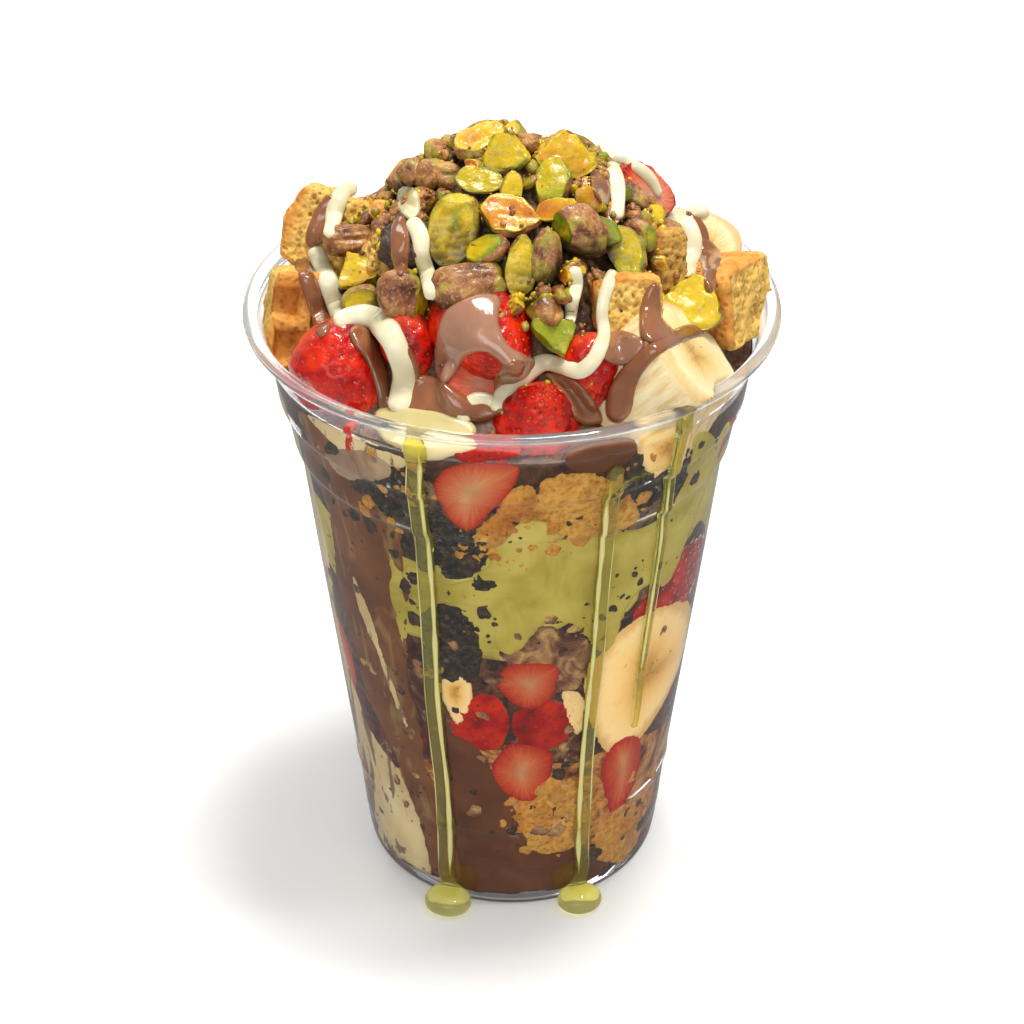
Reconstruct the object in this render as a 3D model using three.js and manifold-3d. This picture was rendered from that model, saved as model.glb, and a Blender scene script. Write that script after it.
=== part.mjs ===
// A clear cold-drink cup filled with pieces of waffle, strawberry, banana and dark biscuit,
// chocolate sauce and pistachio cream, heaped with chopped pistachios.
// Millimetres, +Z up. The origin is the middle of the cup's foot, on the surface it stands on.
// The side that faces -Y is the front. Angles go round the cup from the front towards +X, in degrees.
import * as THREE from "three";
import { mergeVertices } from "three/addons/utils/BufferGeometryUtils.js";
import Module from "manifold-3d";

const wasm = await Module();
wasm.setup();

// ---------------------------------------------------------------- driving dimensions
const CUP_HEIGHT = 119.4; // top of the rolled lip
const RIM_RADIUS = 49.0; // outside of the lip
const FOOT_RADIUS = 27.2; // outside of the flat ring it stands on
const FOOT_INNER_RADIUS = 24.0;
const FOOT_RECESS = 1.6; // the middle of the underside is raised by this
const WALL = 0.8; // thickness of the plastic
const FLOOR = 2.5; // top of the cup's floor
const RIB_HEIGHTS = [20.4, 92.4, 101.9, 111.5]; // the steps moulded round the wall
const ROUND = 24; // sides round the cup
const GAP = 0.32; // clearance between neighbours
const BED_HEIGHT = 108; // height of the filling at the wall, under the topping
const HEAP_TOP = 157.5; // top of the nuts
const BERRY_LENGTH = 24; // a whole strawberry
const BANANA_RADIUS = 14.5; // a slice of banana
const DRIP_WIDTH = 3.6; // a run of syrup down the wall

// Outer radius of the wall at a height: the straight taper, and the wider stacking steps near the top.
const WALL_TABLE = [
  [0.0, FOOT_RADIUS],
  [1.8, 28.3],
  [10.0, 29.6],
  [RIB_HEIGHTS[0], 30.75],
  [55.0, 35.1],
  [RIB_HEIGHTS[1], 39.8],
  [RIB_HEIGHTS[1] + 0.7, 40.6],
  [RIB_HEIGHTS[2], 42.2],
  [RIB_HEIGHTS[2] + 0.8, 43.1],
  [RIB_HEIGHTS[3], 44.3],
  [RIB_HEIGHTS[3] + 0.8, 45.1],
  [116.6, 46.1],
];

const rad = THREE.MathUtils.degToRad;
const clamp = THREE.MathUtils.clamp;
const lerp = THREE.MathUtils.lerp;
const smooth = (a, b, t) => THREE.MathUtils.smoothstep(t, a, b);

function wallRadius(z) {
  const t = WALL_TABLE;
  if (z <= t[0][0]) return t[0][1];
  for (let i = 1; i < t.length; i++)
    if (z <= t[i][0])
      return lerp(t[i - 1][1], t[i][1], (z - t[i - 1][0]) / (t[i][0] - t[i - 1][0]));
  return t[t.length - 1][1];
}

// ---------------------------------------------------------------- helpers
// A repeatable noise from -1 to 1 for a seed and a count.
function noise(seed, i) {
  const s = Math.sin(seed * 127.1 + i * 311.7 + 17.3) * 43758.5453;
  return 2 * (s - Math.floor(s)) - 1;
}

function solid(geometry) {
  const g = geometry.clone();
  g.deleteAttribute("normal");
  g.deleteAttribute("uv");
  const m = mergeVertices(g, 1e-4);
  return new wasm.Manifold(
    new wasm.Mesh({
      numProp: 3,
      vertProperties: new Float32Array(m.attributes.position.array),
      triVerts: new Uint32Array(m.index.array),
    }),
  );
}

function geometryOf(made) {
  const mesh = made.getMesh();
  const v = new Float32Array(mesh.numVert * 3);
  for (let i = 0; i < mesh.numVert; i++)
    for (let k = 0; k < 3; k++) v[i * 3 + k] = mesh.vertProperties[i * mesh.numProp + k];
  const g = new THREE.BufferGeometry();
  g.setAttribute("position", new THREE.BufferAttribute(v, 3));
  g.setIndex(new THREE.BufferAttribute(new Uint32Array(mesh.triVerts), 1));
  g.computeVertexNormals();
  return g;
}

// The largest body of a cut solid, without slivers.
function largest(made) {
  const bodies = made.decompose().sort((a, b) => b.volume() - a.volume());
  return bodies[0];
}

function lathe(points, sides = ROUND) {
  const g = new THREE.LatheGeometry(
    points.map(([r, z]) => new THREE.Vector2(r, z)),
    sides,
  );
  g.rotateX(Math.PI / 2);
  return g;
}

// Moves each vertex of a geometry with a function of its position.
function bend(geometry, move) {
  const p = geometry.attributes.position;
  const v = new THREE.Vector3();
  for (let i = 0; i < p.count; i++) {
    v.fromBufferAttribute(p, i);
    move(v, i);
    p.setXYZ(i, v.x, v.y, v.z);
  }
  return geometry;
}

// A slab between two height functions of (x, y) inside an outline radius(angle): used for layers and heaps.
function slab(radiusAt, topAt, bottomAt, rings, sides) {
  const pos = [];
  const index = [];
  const add = (x, y, z) => pos.push(x, y, z) / 3 - 1;
  const sheets = [topAt, bottomAt].map((heightAt) => {
    const rows = [[add(0, 0, heightAt(0, 0))]];
    for (let k = 1; k <= rings.length; k++) {
      const row = [];
      for (let i = 0; i < sides; i++) {
        const a = (i / sides) * 2 * Math.PI;
        const r = radiusAt(a) * rings[k - 1];
        const x = r * Math.sin(a);
        const y = -r * Math.cos(a);
        row.push(add(x, y, heightAt(x, y)));
      }
      rows.push(row);
    }
    return rows;
  });
  sheets.forEach((rows, s) => {
    const face = (a, b, c) => (s === 0 ? index.push(a, b, c) : index.push(a, c, b));
    for (let i = 0; i < sides; i++) {
      const j = (i + 1) % sides;
      face(rows[0][0], rows[1][i], rows[1][j]);
      for (let k = 1; k < rows.length - 1; k++) {
        face(rows[k][i], rows[k + 1][i], rows[k + 1][j]);
        face(rows[k][i], rows[k + 1][j], rows[k][j]);
      }
    }
  });
  const top = sheets[0][rings.length];
  const low = sheets[1][rings.length];
  for (let i = 0; i < sides; i++) {
    const j = (i + 1) % sides;
    index.push(top[i], low[i], low[j], top[i], low[j], top[j]);
  }
  const g = new THREE.BufferGeometry();
  g.setAttribute("position", new THREE.BufferAttribute(new Float32Array(pos), 3));
  g.setIndex(index);
  return g;
}

// ---------------------------------------------------------------- shapes of the food, each about its own centre
// Strawberry: its length lies along X with the tip at +X, and with cut under 1 it is sliced flat at
// local z = cut * half its width.
function strawberry(length, width, cut = 1, grow = 0, seed = 1) {
  const n = 4;
  const profile = [];
  for (let i = 0; i <= n; i++) {
    const u = i / n;
    const r = (width / 2 + grow) * Math.pow(Math.sin(Math.PI * Math.pow(u, 0.66)), 0.72);
    profile.push([i === 0 || i === n ? 0 : r, (u - 0.5) * (length + 2 * grow)]);
  }
  const g = lathe(profile, 7);
  g.rotateY(Math.PI / 2);
  const face = cut * (width / 2) + grow;
  return bend(g, (v) => {
    v.y *= 1 + 0.05 * noise(seed, 1);
    v.z *= 0.92 + 0.05 * noise(seed, 2);
    v.z = Math.min(v.z, face);
  });
}

// Slice or chunk of banana: a slightly five-sided disc, its cut faces at +Z and -Z.
function banana(radius, thick, grow = 0, seed = 1) {
  const h = thick / 2 + grow;
  const r = radius + grow;
  const g = lathe(
    [
      [0, -h],
      [r, -h],
      [r, h],
      [0, h],
    ],
    10,
  );
  return bend(g, (v) => {
    const a = Math.atan2(v.y, v.x);
    const k = 1 + 0.035 * Math.cos(5 * a + seed) + 0.03 * Math.cos(2 * a + 2 * seed);
    v.x *= k;
    v.y *= k;
  });
}

// Torn piece of thick waffle: a block with an uneven outline, its baked faces at +Z and -Z,
// with square pockets sunk in the +Z face when asked.
function waffle(w, h, thick, grow = 0, seed = 1, pockets = []) {
  const sides = 7;
  const shape = new THREE.Shape();
  for (let i = 0; i < sides; i++) {
    const a = ((i + 0.35 * noise(seed, i)) / sides) * 2 * Math.PI;
    const c = Math.cos(a);
    const s = Math.sin(a);
    const k = Math.pow(Math.pow(Math.abs(c), 3) + Math.pow(Math.abs(s), 3), -1 / 3);
    const r = k * (1 + 0.09 * noise(seed, i + 20));
    const x = (w / 2 + grow) * r * c;
    const y = (h / 2 + grow) * r * s;
    i ? shape.lineTo(x, y) : shape.moveTo(x, y);
  }
  const g = new THREE.ExtrudeGeometry(shape, {
    depth: thick + 2 * grow,
    bevelEnabled: false,
    steps: 1,
  });
  g.translate(0, 0, -(thick / 2 + grow));
  if (!pockets.length) return g;
  let made = solid(g);
  for (const [x, y, size, deep] of pockets) {
    const box = new THREE.BoxGeometry(size, size, deep * 2);
    box.translate(x, y, thick / 2 + grow);
    made = made.subtract(solid(box));
  }
  return geometryOf(largest(made));
}

// Rough lump: broken biscuit, crumb, or nut when its roughness is small.
function lump(x, y, z, rough, grow = 0, seed = 1) {
  const g = mergeVertices(
    new THREE.SphereGeometry(1.08, 6, 4).deleteAttribute("normal").deleteAttribute("uv"),
    1e-4,
  );
  return bend(g, (v, i) => {
    const k = 1 + rough * noise(seed, i);
    v.set(v.x * k * (x / 2 + grow), v.y * k * (y / 2 + grow), v.z * k * (z / 2 + grow));
  });
}

// Pistachio kernel: long, a little flat underneath, narrower at one end.
function pistachio(length, width, thick, grow = 0, seed = 1) {
  const g = new THREE.SphereGeometry(1, 6, 5);
  g.rotateZ(Math.PI / 2);
  return bend(g, (v) => {
    const taper = 1 - 0.18 * v.x;
    v.set(
      v.x * (length / 2 + grow),
      v.y * taper * (width / 2 + grow),
      (v.z < 0 ? 0.8 : 1) * v.z * taper * (thick / 2 + grow) + 0.3 * Math.cos(3 * v.x + seed),
    );
  });
}

// ---------------------------------------------------------------- placing
// A piece against the wall: local Z points out of the cup, local X round it, local Y up. inset is how far
// its middle lies inside the wall; roll turns it in the wall's plane; tip and turn lean it.
function atWall(angle, z, inset, roll = 0, lean = [0, 0]) {
  const a = rad(angle);
  const out = new THREE.Vector3(Math.sin(a), -Math.cos(a), 0);
  const round = new THREE.Vector3(Math.cos(a), Math.sin(a), 0);
  const m = new THREE.Matrix4().makeBasis(round, new THREE.Vector3(0, 0, 1), out);
  const r = wallRadius(z) - WALL - inset;
  m.setPosition(out.x * r, out.y * r, z);
  return m
    .multiply(new THREE.Matrix4().makeRotationX(rad(lean[0])))
    .multiply(new THREE.Matrix4().makeRotationY(rad(lean[1])))
    .multiply(new THREE.Matrix4().makeRotationZ(rad(roll)));
}

// A free piece at a point, turned by three angles about X, Y, then Z.
function atPoint(x, y, z, rx, ry, rz) {
  const m = new THREE.Matrix4().makeRotationFromEuler(
    new THREE.Euler(rad(rx), rad(ry), rad(rz), "ZYX"),
  );
  return m.setPosition(x, y, z);
}

// The inside of the cup up to a height, kept clear of the wall and the floor.
function innerSpace(height) {
  const points = [[0, FLOOR + GAP]];
  const r0 = wallRadius(FLOOR + GAP) - WALL - GAP;
  points.push([r0 - 1.0, FLOOR + GAP]);
  for (const z of [10, RIB_HEIGHTS[1]]) points.push([wallRadius(z - 0.01) - WALL - GAP, z]);
  points.push([wallRadius(height) - WALL - GAP - 0.5, height], [0, height]);
  return solid(lathe(points));
}

// The open space above the lip, joined to the inside by the cup's mouth.
function openSpace() {
  return solid(
    lathe([
      [0, 114],
      [43.7, 114],
      [45.1, 118.4],
      [46.2, CUP_HEIGHT + GAP],
      [64, CUP_HEIGHT + GAP + 1],
      [64, 175],
      [0, 175],
    ]),
  );
}

// ---------------------------------------------------------------- the cup
function cup() {
  const outer = WALL_TABLE.map(([z, r]) => [r, z]);
  const lip = [
    [RIM_RADIUS - 0.7, 117.3],
    [RIM_RADIUS, 118.4],
    [RIM_RADIUS - 0.5, CUP_HEIGHT],
    [46.8, CUP_HEIGHT],
    [45.8, 118.4],
  ];
  const inner = WALL_TABLE.filter(([z]) => z >= 10 && z !== RIB_HEIGHTS[0])
    .reverse()
    .map(([z, r]) => [r - WALL, z]);
  const floor = [
    [wallRadius(FLOOR + 1) - WALL, FLOOR + 1],
    [wallRadius(FLOOR) - WALL - 1.0, FLOOR],
    [0, FLOOR],
  ];
  const under = [
    [0, FOOT_RECESS],
    [FOOT_INNER_RADIUS - 0.8, FOOT_RECESS],
    [FOOT_INNER_RADIUS, 0],
  ];
  return lathe([...under, ...outer, ...lip, ...inner, ...floor]);
}

// ---------------------------------------------------------------- pieces pressed against the wall
// [name, colour group, shape(grow), angle, height, inset, roll, lean]
const wallPieces = [
  // front, top row
  ["strawberry_wall_top", "strawberry", (g) => strawberry(23, 18, 0.3, g, 1), -8.5, 104.5, 2.4, -98],
  ["waffle_wall_middle", "waffle", (g) => waffle(17, 13, 11, g, 2), 1, 96.5, 4.6, 12],
  ["waffle_wall_right", "waffle", (g) => waffle(21, 17, 12, g, 3), 21, 101, 4.8, -14],
  ["biscuit_wall_left", "biscuit", (g) => lump(24, 14, 12, 0.1, g, 4), -40, 99, 3.2, -4],
  ["biscuit_wall_middle", "biscuit", (g) => lump(14, 12, 11, 0.1, g, 6), -15.5, 88.5, 3.0, 0],
  // middle row
  ["biscuit_wall_low", "biscuit", (g) => lump(15, 19, 12, 0.1, g, 7), -17, 67, 3.4, 0],
  ["brownie_wall_middle", "brownie", (g) => lump(18, 13, 13, 0.08, g, 8), 10, 65.5, 3.6, 10],
  ["strawberry_wall_centre", "strawberry", (g) => strawberry(15, 12, 0.2, g, 9), 4, 57, 0.9, -12],
  ["banana_wall_round", "banana", (g) => banana(BANANA_RADIUS, 9, g, 1), 46, 52, 4.0, 0, [0, 0]],
  ["banana_wall_behind", "banana", (g) => banana(9, 7, g, 2), 17.5, 49.5, 4.2, 0, [6, -24]],
  ["banana_wall_small", "banana", (g) => banana(6.5, 6, g, 3), -19, 56, 3.2, 0, [-10, 14]],
  ["strawberry_wall_left_centre", "strawberry", (g) => strawberry(15, 14, 0.2, g, 10), -12.5, 48, 1.2, 160],
  ["strawberry_wall_right_centre", "strawberry", (g) => strawberry(14, 12, 1, g, 11), 7.5, 46.5, 3.6, -35],
  ["strawberry_wall_far_right", "strawberry", (g) => strawberry(23, 19, 0.5, g, 12), 62, 75.5, 4.2, 50],
  ["strawberry_wall_far_left", "strawberry", (g) => strawberry(20, 14, 0.5, g, 13), -74, 50, 3.0, 80],
  // bottom row
  ["strawberry_wall_front_low", "strawberry", (g) => strawberry(16, 13, 0.2, g, 14), 3.5, 35, 1.0, 70],
  ["strawberry_wall_right_low", "strawberry", (g) => strawberry(20, 13, 0.3, g, 15), 41, 29.5, 1.6, 76],
  ["waffle_wall_low", "waffle", (g) => waffle(18, 15, 12, g, 18), 16, 21.5, 4.8, 22],
  ["waffle_wall_low_right", "waffle", (g) => waffle(16, 12, 11, g, 19), 46, 12.6, 4.2, 14],
  // the far side
  ["strawberry_wall_back", "strawberry", (g) => strawberry(20, 15, 0.2, g, 20), 158, 100, 1.2, -60],
  ["banana_wall_back", "banana", (g) => banana(13, 9, g, 4), 196, 56, 3.8, 0, [0, 0]],
  ["waffle_wall_back", "waffle", (g) => waffle(20, 16, 12, g, 22), 226, 99, 4.8, 8],
];

// ---------------------------------------------------------------- pieces on top
// [name, colour group, shape(grow), x, y, z, turned about X, Y, Z]
const topPieces = [
  ["strawberry_top_left", "strawberry", (g) => strawberry(22, 17.5, 1, g, 31), -28.9, -24.4, 117.8, 10, 24, -38],
  ["strawberry_top_centre", "strawberry", (g) => strawberry(22, 18, 1, g, 32), -3.8, -27.5, 127.5, 10, 8, -62],
  ["strawberry_top_front", "strawberry", (g) => strawberry(17, 15, 1, g, 33), 4.6, -36.6, 116.2, 0, -62, -70],
  ["strawberry_top_low", "strawberry", (g) => strawberry(12, 10, 0.3, g, 34), -6.0, -32.4, 120.6, 50, 0, 14],
  ["strawberry_top_right", "strawberry", (g) => strawberry(13, 10, 1, g, 35), 13.6, -32.2, 122.6, 0, 58, -80],
  ["strawberry_top_glazed", "strawberry", (g) => strawberry(13, 11, 0.4, g, 36), 20.6, -25.6, 122.8, 30, 10, 10],
  ["strawberry_top_behind", "strawberry", (g) => strawberry(15, 12.5, 0.3, g, 37), 26.0, 4.6, 137.8, 62, 20, 26],
  ["strawberry_top_dark", "strawberry", (g) => strawberry(13, 9, 1, g, 38), -17.6, -27.2, 123.6, 0, 62, -60],
  ["banana_top_front", "banana", (g) => banana(13.2, 13, g, 5), 26.6, -28.0, 115.0, 64, 8, 32],
  ["banana_top_behind", "banana", (g) => banana(7.8, 7, g, 6), 36.6, 7.6, 123.5, 40, 24, 0],
  ["waffle_top_left", "waffle", (g) => waffle(16, 14, 11, g, 39), -30.8, 6.0, 127.6, 62, 18, -14],
  [
    "waffle_top_side",
    "waffle",
    (g) =>
      waffle(18.5, 14.5, 10, g, 40, g ? [] : [
        [-4.2, 3.2, 4.6, 3.2],
        [2.8, 3.4, 4.6, 3.2],
        [-4.4, -3.8, 4.6, 3.2],
      ]),
    -36.2, -5.0, 118.6, 58, -14, 64,
  ],
  ["waffle_top_right", "waffle", (g) => waffle(18, 14, 8.5, g, 41), 39.0, -3.0, 120.6, 78, 12, 62],
  ["waffle_top_centre", "waffle", (g) => waffle(11, 9.5, 10, g, 42), 19.4, -20.8, 130.0, 68, 0, 12],
  ["biscuit_top_left", "biscuit", (g) => lump(9, 10, 9, 0.12, g, 43), -17.2, -14.2, 134.4, 0, 0, 0],
  ["waffle_top_back", "waffle", (g) => waffle(18, 15, 11, g, 44), -9.0, 26.5, 123.6, 24, 12, 20],
  ["strawberry_top_back", "strawberry", (g) => strawberry(20, 16, 1, g, 45), 13.5, 28.0, 122.6, -20, 12, 60],
];

// Single nuts that lie apart from the heap.
const nutPieces = [
  ["pistachio_left", "pistachio", (g) => pistachio(9.5, 5.4, 5, g, 1), -28.4, -8.6, 132.6, 12, 8, 10],
  ["pistachio_left_pale", "pistachio", (g) => lump(8.2, 7.6, 6.4, 0.1, g, 51), -27.8, -15.6, 130.0, 10, 0, 0],
  ["pistachio_left_low", "pistachio", (g) => pistachio(9.6, 7.2, 6.4, g, 2), -19.6, -25.0, 131.8, 20, 44, -30],
  ["pistachio_front_green", "pistachio", (g) => pistachio(8.8, 7, 5.4, g, 3), 7.4, -33.2, 130.6, 40, 30, -20],
  ["pistachio_right", "pistachio", (g) => lump(11, 10.5, 7.5, 0.09, g, 52), 31.0, -15.0, 129.2, 34, 20, 30],
];

// ---------------------------------------------------------------- filling
const along = (table, r) => {
  for (let i = 1; i < table.length; i++)
    if (r <= table[i][0])
      return lerp(table[i - 1][1], table[i][1], (r - table[i - 1][0]) / (table[i][0] - table[i - 1][0]));
  return table[table.length - 1][1];
};
const BED_TABLE = [
  [0, HEAP_TOP - 13],
  [10, HEAP_TOP - 16],
  [20, HEAP_TOP - 23.5],
  [27, HEAP_TOP - 31.5],
  [35, HEAP_TOP - 42.5],
  [43, BED_HEIGHT],
];
const bedDome = (x, y) =>
  along(BED_TABLE, Math.hypot(x - 1, y)) + 0.8 * Math.sin(0.21 * x + 1) * Math.cos(0.19 * y);
const heapOutline = (a) => 23.5 + 2.6 * Math.sin(3 * a + 0.6) + 1.8 * Math.sin(5 * a + 2.1) + 1.6 * Math.sin(a);
const heapSurface = (x, y) => {
  const r = Math.hypot(x - 0.5, y);
  const lumps = 1.3 * Math.sin(0.62 * x + 0.9) * Math.sin(0.58 * y + 0.4) + 0.7 * Math.sin(0.95 * x - 0.8 * y);
  return lerp(HEAP_TOP - 1.2, HEAP_TOP - 23, Math.pow(clamp(r / 27, 0, 1), 1.35)) + lumps;
};

const angleAt = (x, y) => THREE.MathUtils.radToDeg(Math.atan2(x, -y));
const bump = (a, middle, half, high) => {
  let d = Math.abs(a - middle);
  if (d > 180) d = 360 - d;
  return high * (1 - smooth(0, 1, clamp(d / half, 0, 1)));
};
// Tops of the layers that run through the cup, at an angle round it. In the middle each lies at its mean.
const layerTops = [
  { name: "chocolate_base", colour: "chocolate", mean: 14, top: (a) => 12 + bump(a, -13, 17, 27) + bump(a, 150, 30, 10) },
  { name: "waffle_bed", colour: "waffle", mean: 34, top: (a) => 32 + 4 * Math.sin(rad(2 * a + 40)) + bump(a, -13, 20, 10) },
  { name: "fruit_bed", colour: "chocolate", mean: 66, top: (a) => 70 + 4 * Math.sin(rad(3 * a)) - bump(a, -2, 14, 6) - bump(a, 28, 9, 6) + bump(a, 65, 16, 12) },
  { name: "pistachio_cream_layer", colour: "pistachio_cream", mean: 86, top: (a) => 86 + bump(a, 8, 22, 11) + bump(a, 68, 24, 11) - bump(a, -16, 14, 4) + bump(a, 200, 50, 6) },
  { name: "biscuit_crumb_layer", colour: "biscuit", mean: 100, top: (a) => 101 + 3 * Math.sin(rad(2 * a + 70)) + bump(a, -35, 20, 4) },
];

// A band of sauce down the inside of the wall, from one angle and height to another.
function wallBand(from, to, widths, deep, steps = 6, out = 0) {
  const pos = [];
  const index = [];
  for (let k = 0; k <= steps; k++) {
    const t = k / steps;
    const a = lerp(from[0], to[0], Math.pow(t, 1.15));
    const z = lerp(from[1], to[1], t);
    const w = lerp(widths[0], widths[1], t) + widths[2] * Math.sin(Math.PI * t);
    for (const [side, depth] of [
      [-1, 0],
      [0, 0],
      [1, 0],
      [0.7, 1],
      [-0.7, 1],
    ]) {
      const r = wallRadius(z) - WALL - GAP - 0.15 + (depth ? -deep : out);
      const b = rad(a) + (side * w) / 2 / r;
      pos.push(r * Math.sin(b), -r * Math.cos(b), z);
    }
  }
  for (let k = 0; k < steps; k++)
    for (let i = 0; i < 5; i++) {
      const j = (i + 1) % 5;
      const a = k * 5 + i;
      const b = k * 5 + j;
      index.push(a, a + 5, b + 5, a, b + 5, b);
    }
  const e = steps * 5;
  index.push(0, 1, 4, 1, 2, 3, 1, 3, 4);
  index.push(e, e + 4, e + 1, e + 1, e + 3, e + 2, e + 1, e + 4, e + 3);
  const g = new THREE.BufferGeometry();
  g.setAttribute("position", new THREE.BufferAttribute(new Float32Array(pos), 3));
  g.setIndex(index);
  return g;
}

// A run of syrup down the outside of the wall that ends in a bead on the surface the cup stands on.
function drip(path, width, bead) {
  const rows = [];
  const sides = 5;
  path.forEach(([a, z], k) => {
    const t = k / (path.length - 1);
    const w = (width * (0.8 + 0.25 * noise(bead, k) + (t > 0.9 ? 0.3 : 0))) / 2;
    const deep = k === 0 ? 0.8 : 1.3;
    const r0 = wallRadius(z + 0.8) + GAP + (z > 90 ? 0.55 : 0.15);
    const row = [];
    for (let i = 0; i < sides; i++) {
      const b = Math.PI * (i / (sides - 1));
      const side = Math.cos(b) * w;
      const out = Math.sin(b) * deep;
      const r = r0 + out;
      const c = rad(a) + side / r;
      row.push([r * Math.sin(c), -r * Math.cos(c), z]);
    }
    rows.push(row);
  });
  const pos = rows.flat(2);
  const index = [];
  for (let k = 0; k < rows.length - 1; k++)
    for (let i = 0; i < sides; i++) {
      const j = (i + 1) % sides;
      const a = k * sides + i;
      const b = k * sides + j;
      index.push(a, b, b + sides, a, b + sides, a + sides);
    }
  const e = (rows.length - 1) * sides;
  for (let i = 1; i < sides - 1; i++) {
    index.push(0, i + 1, i);
    index.push(e, e + i, e + i + 1);
  }
  const g = new THREE.BufferGeometry();
  g.setAttribute("position", new THREE.BufferAttribute(new Float32Array(pos), 3));
  g.setIndex(index);
  let made = solid(g);
  if (made.volume() < 0) throw new Error("drip inside out");
  if (bead > 0) {
    const [a, z] = path[path.length - 1];
    const r = FOOT_RADIUS + bead / 2 + GAP + 1.0;
    const drop = new THREE.SphereGeometry(1, 8, 4);
    drop.rotateX(Math.PI / 2);
    bend(drop, (v) => {
      v.set(v.x * bead * 0.56, v.y * bead * 0.5, Math.max(v.z, -0.72) * 2.5 + 1.8);
    });
    drop.translate(r * Math.sin(rad(a)), -r * Math.cos(rad(a)), 0);
    made = made.add(solid(drop));
  }
  return made;
}

const drips = [
  ["syrup_drip_left", [[-21.4, 116.0], [-22, 109], [-23.1, 99], [-23.3, 88], [-23.6, 70], [-24.6, 50], [-24, 32], [-24.2, 18], [-23.6, 1.4]], 7.6],
  ["syrup_drip_right", [[24.3, 109.0], [24.3, 99], [25, 86], [25.1, 66], [24.9, 50], [25.2, 36], [26, 20], [25.2, 1.4]], 7.4],
  ["syrup_drip_side", [[41.2, 115.5], [41.7, 108], [42.3, 95], [43.5, 79], [43.2, 60], [43.7, 40]], 0],
];

// ---------------------------------------------------------------- assembly
const COLOURS = {
  clear: [0xf2f5f3, 0.05],
  strawberry: [0xc8281e, 0.35],
  waffle: [0xd69a55, 0.8],
  banana: [0xf0dfb4, 0.55],
  biscuit: [0x2f2a29, 0.85],
  brownie: [0x6d5348, 0.5],
  chocolate: [0x7d5542, 0.3],
  pistachio: [0xa9ab3a, 0.6],
  pistachio_cream: [0xb9b25f, 0.4],
  cream: [0xdcd3a8, 0.4],
  syrup: [0xb8b43e, 0.1],
};

const root = new THREE.Group();
function addMesh(name, colour, made) {
  const [hex, roughness] = COLOURS[colour];
  const material = new THREE.MeshStandardMaterial({ color: hex, roughness, metalness: 0 });
  if (colour === "clear") {
    material.transparent = true;
    material.opacity = 0.3;
  }
  const mesh = new THREE.Mesh(geometryOf(made), material);
  mesh.name = name;
  root.add(mesh);
}

const taken = []; // grown shapes that later pieces are cut back from
const boxesMeet = (a, b) =>
  a.min.every((v, k) => v <= b.max[k]) && b.min.every((v, k) => v <= a.max[k]);
function cutBack(made) {
  for (const other of taken)
    if (boxesMeet(made.boundingBox(), other.boundingBox())) made = made.subtract(other);
  return largest(made);
}
function place(name, colour, shape, matrix, space) {
  const made = cutBack(solid(shape(0).applyMatrix4(matrix)).intersect(space));
  addMesh(name, colour, made);
  taken.push(solid(shape(GAP).applyMatrix4(matrix)));
}

addMesh("cup", "clear", solid(cup()));

const inside = innerSpace(117.0);
const clearSpace = inside.add(openSpace());

for (const [name, colour, shape, ...p] of [...nutPieces, ...topPieces])
  place(name, colour, shape, atPoint(...p), clearSpace);
for (const [name, colour, shape, ...p] of wallPieces)
  place(name, colour, shape, atWall(...p), inside);

// Sauce that ran down inside the wall, and the cream beside it.
for (const [name, colour, ...p] of [
  ["chocolate_streak_left", "chocolate", [-58, 106], [-31, 9], [15, 11, 4], 5.0],
  ["cream_streak_left", "cream", [-84, 84], [-52, 6], [9, 14, 4], 4.0],
]) {
  const band = solid(wallBand(...p));
  const [from, to, widths, deep] = p;
  const grown = solid(
    wallBand([from[0], from[1] + 1], [to[0], to[1] - 1], [widths[0] + 1.6, widths[1] + 1.6, widths[2]], deep + 0.8, 6, GAP + 0.6),
  );
  addMesh(name, colour, cutBack(band.intersect(inside)));
  taken.push(grown);
}

// The layers, from the floor up, and the bed that carries the topping.
let below = () => -5;
const heightAt = ({ mean, top }) => (x, y) =>
  lerp(mean, top(angleAt(x, y)), smooth(0, 1, clamp(Math.hypot(x, y) / 28, 0, 1)));
for (const layer of layerTops) {
  const under = below;
  const own = heightAt(layer);
  const over = (x, y) => Math.max(own(x, y), under(x, y) + 2.0);
  const made = solid(
    slab(() => 60, over, (x, y) => under(x, y) + (under(x, y) > 0 ? GAP : 0), [0.5, 1], 16),
  );
  addMesh(layer.name, layer.colour, cutBack(made.intersect(inside)));
  below = over;
}
const lastTop = below;
const BED_RINGS = [0.2, 0.42, 0.7, 1];
const bedTop = (x, y) => Math.max(bedDome(x, y), lastTop(x, y) + 1.0);
const underBed = solid(slab(() => 60, (x, y) => lastTop(x, y) + GAP, () => -10, [0.5, 1], 16));
const bed = solid(slab(() => 60, bedTop, () => 60, BED_RINGS, 14)).subtract(underBed);
addMesh("chocolate_bed", "chocolate", cutBack(bed.intersect(clearSpace)));

// The heap of chopped nuts over the bed.
const underHeap = solid(slab(() => 60, (x, y) => bedTop(x, y) + GAP, () => -10, BED_RINGS, 14));
const heap = solid(slab(heapOutline, heapSurface, () => 90, [0.3, 0.6, 1], 16)).subtract(underHeap);
addMesh("pistachio_heap", "pistachio", cutBack(heap));

// Syrup that ran over the lip and down the outside.
for (const [name, path, bead] of drips) addMesh(name, "syrup", drip(path, DRIP_WIDTH, bead));

root.name = "waffle_cup";
export default root;
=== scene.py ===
# A clear cup of waffle pieces, fruit, sauces and pistachios: the looks around the fixed frame.
# Lengths below are millimetres in the row frame and become metres as meshes are made.
# Angles go round the cup from the front (-Y) towards +X, in degrees.
import math

import bmesh
import bpy
import numpy as np
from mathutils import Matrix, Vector
from mathutils.bvhtree import BVHTree


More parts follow.
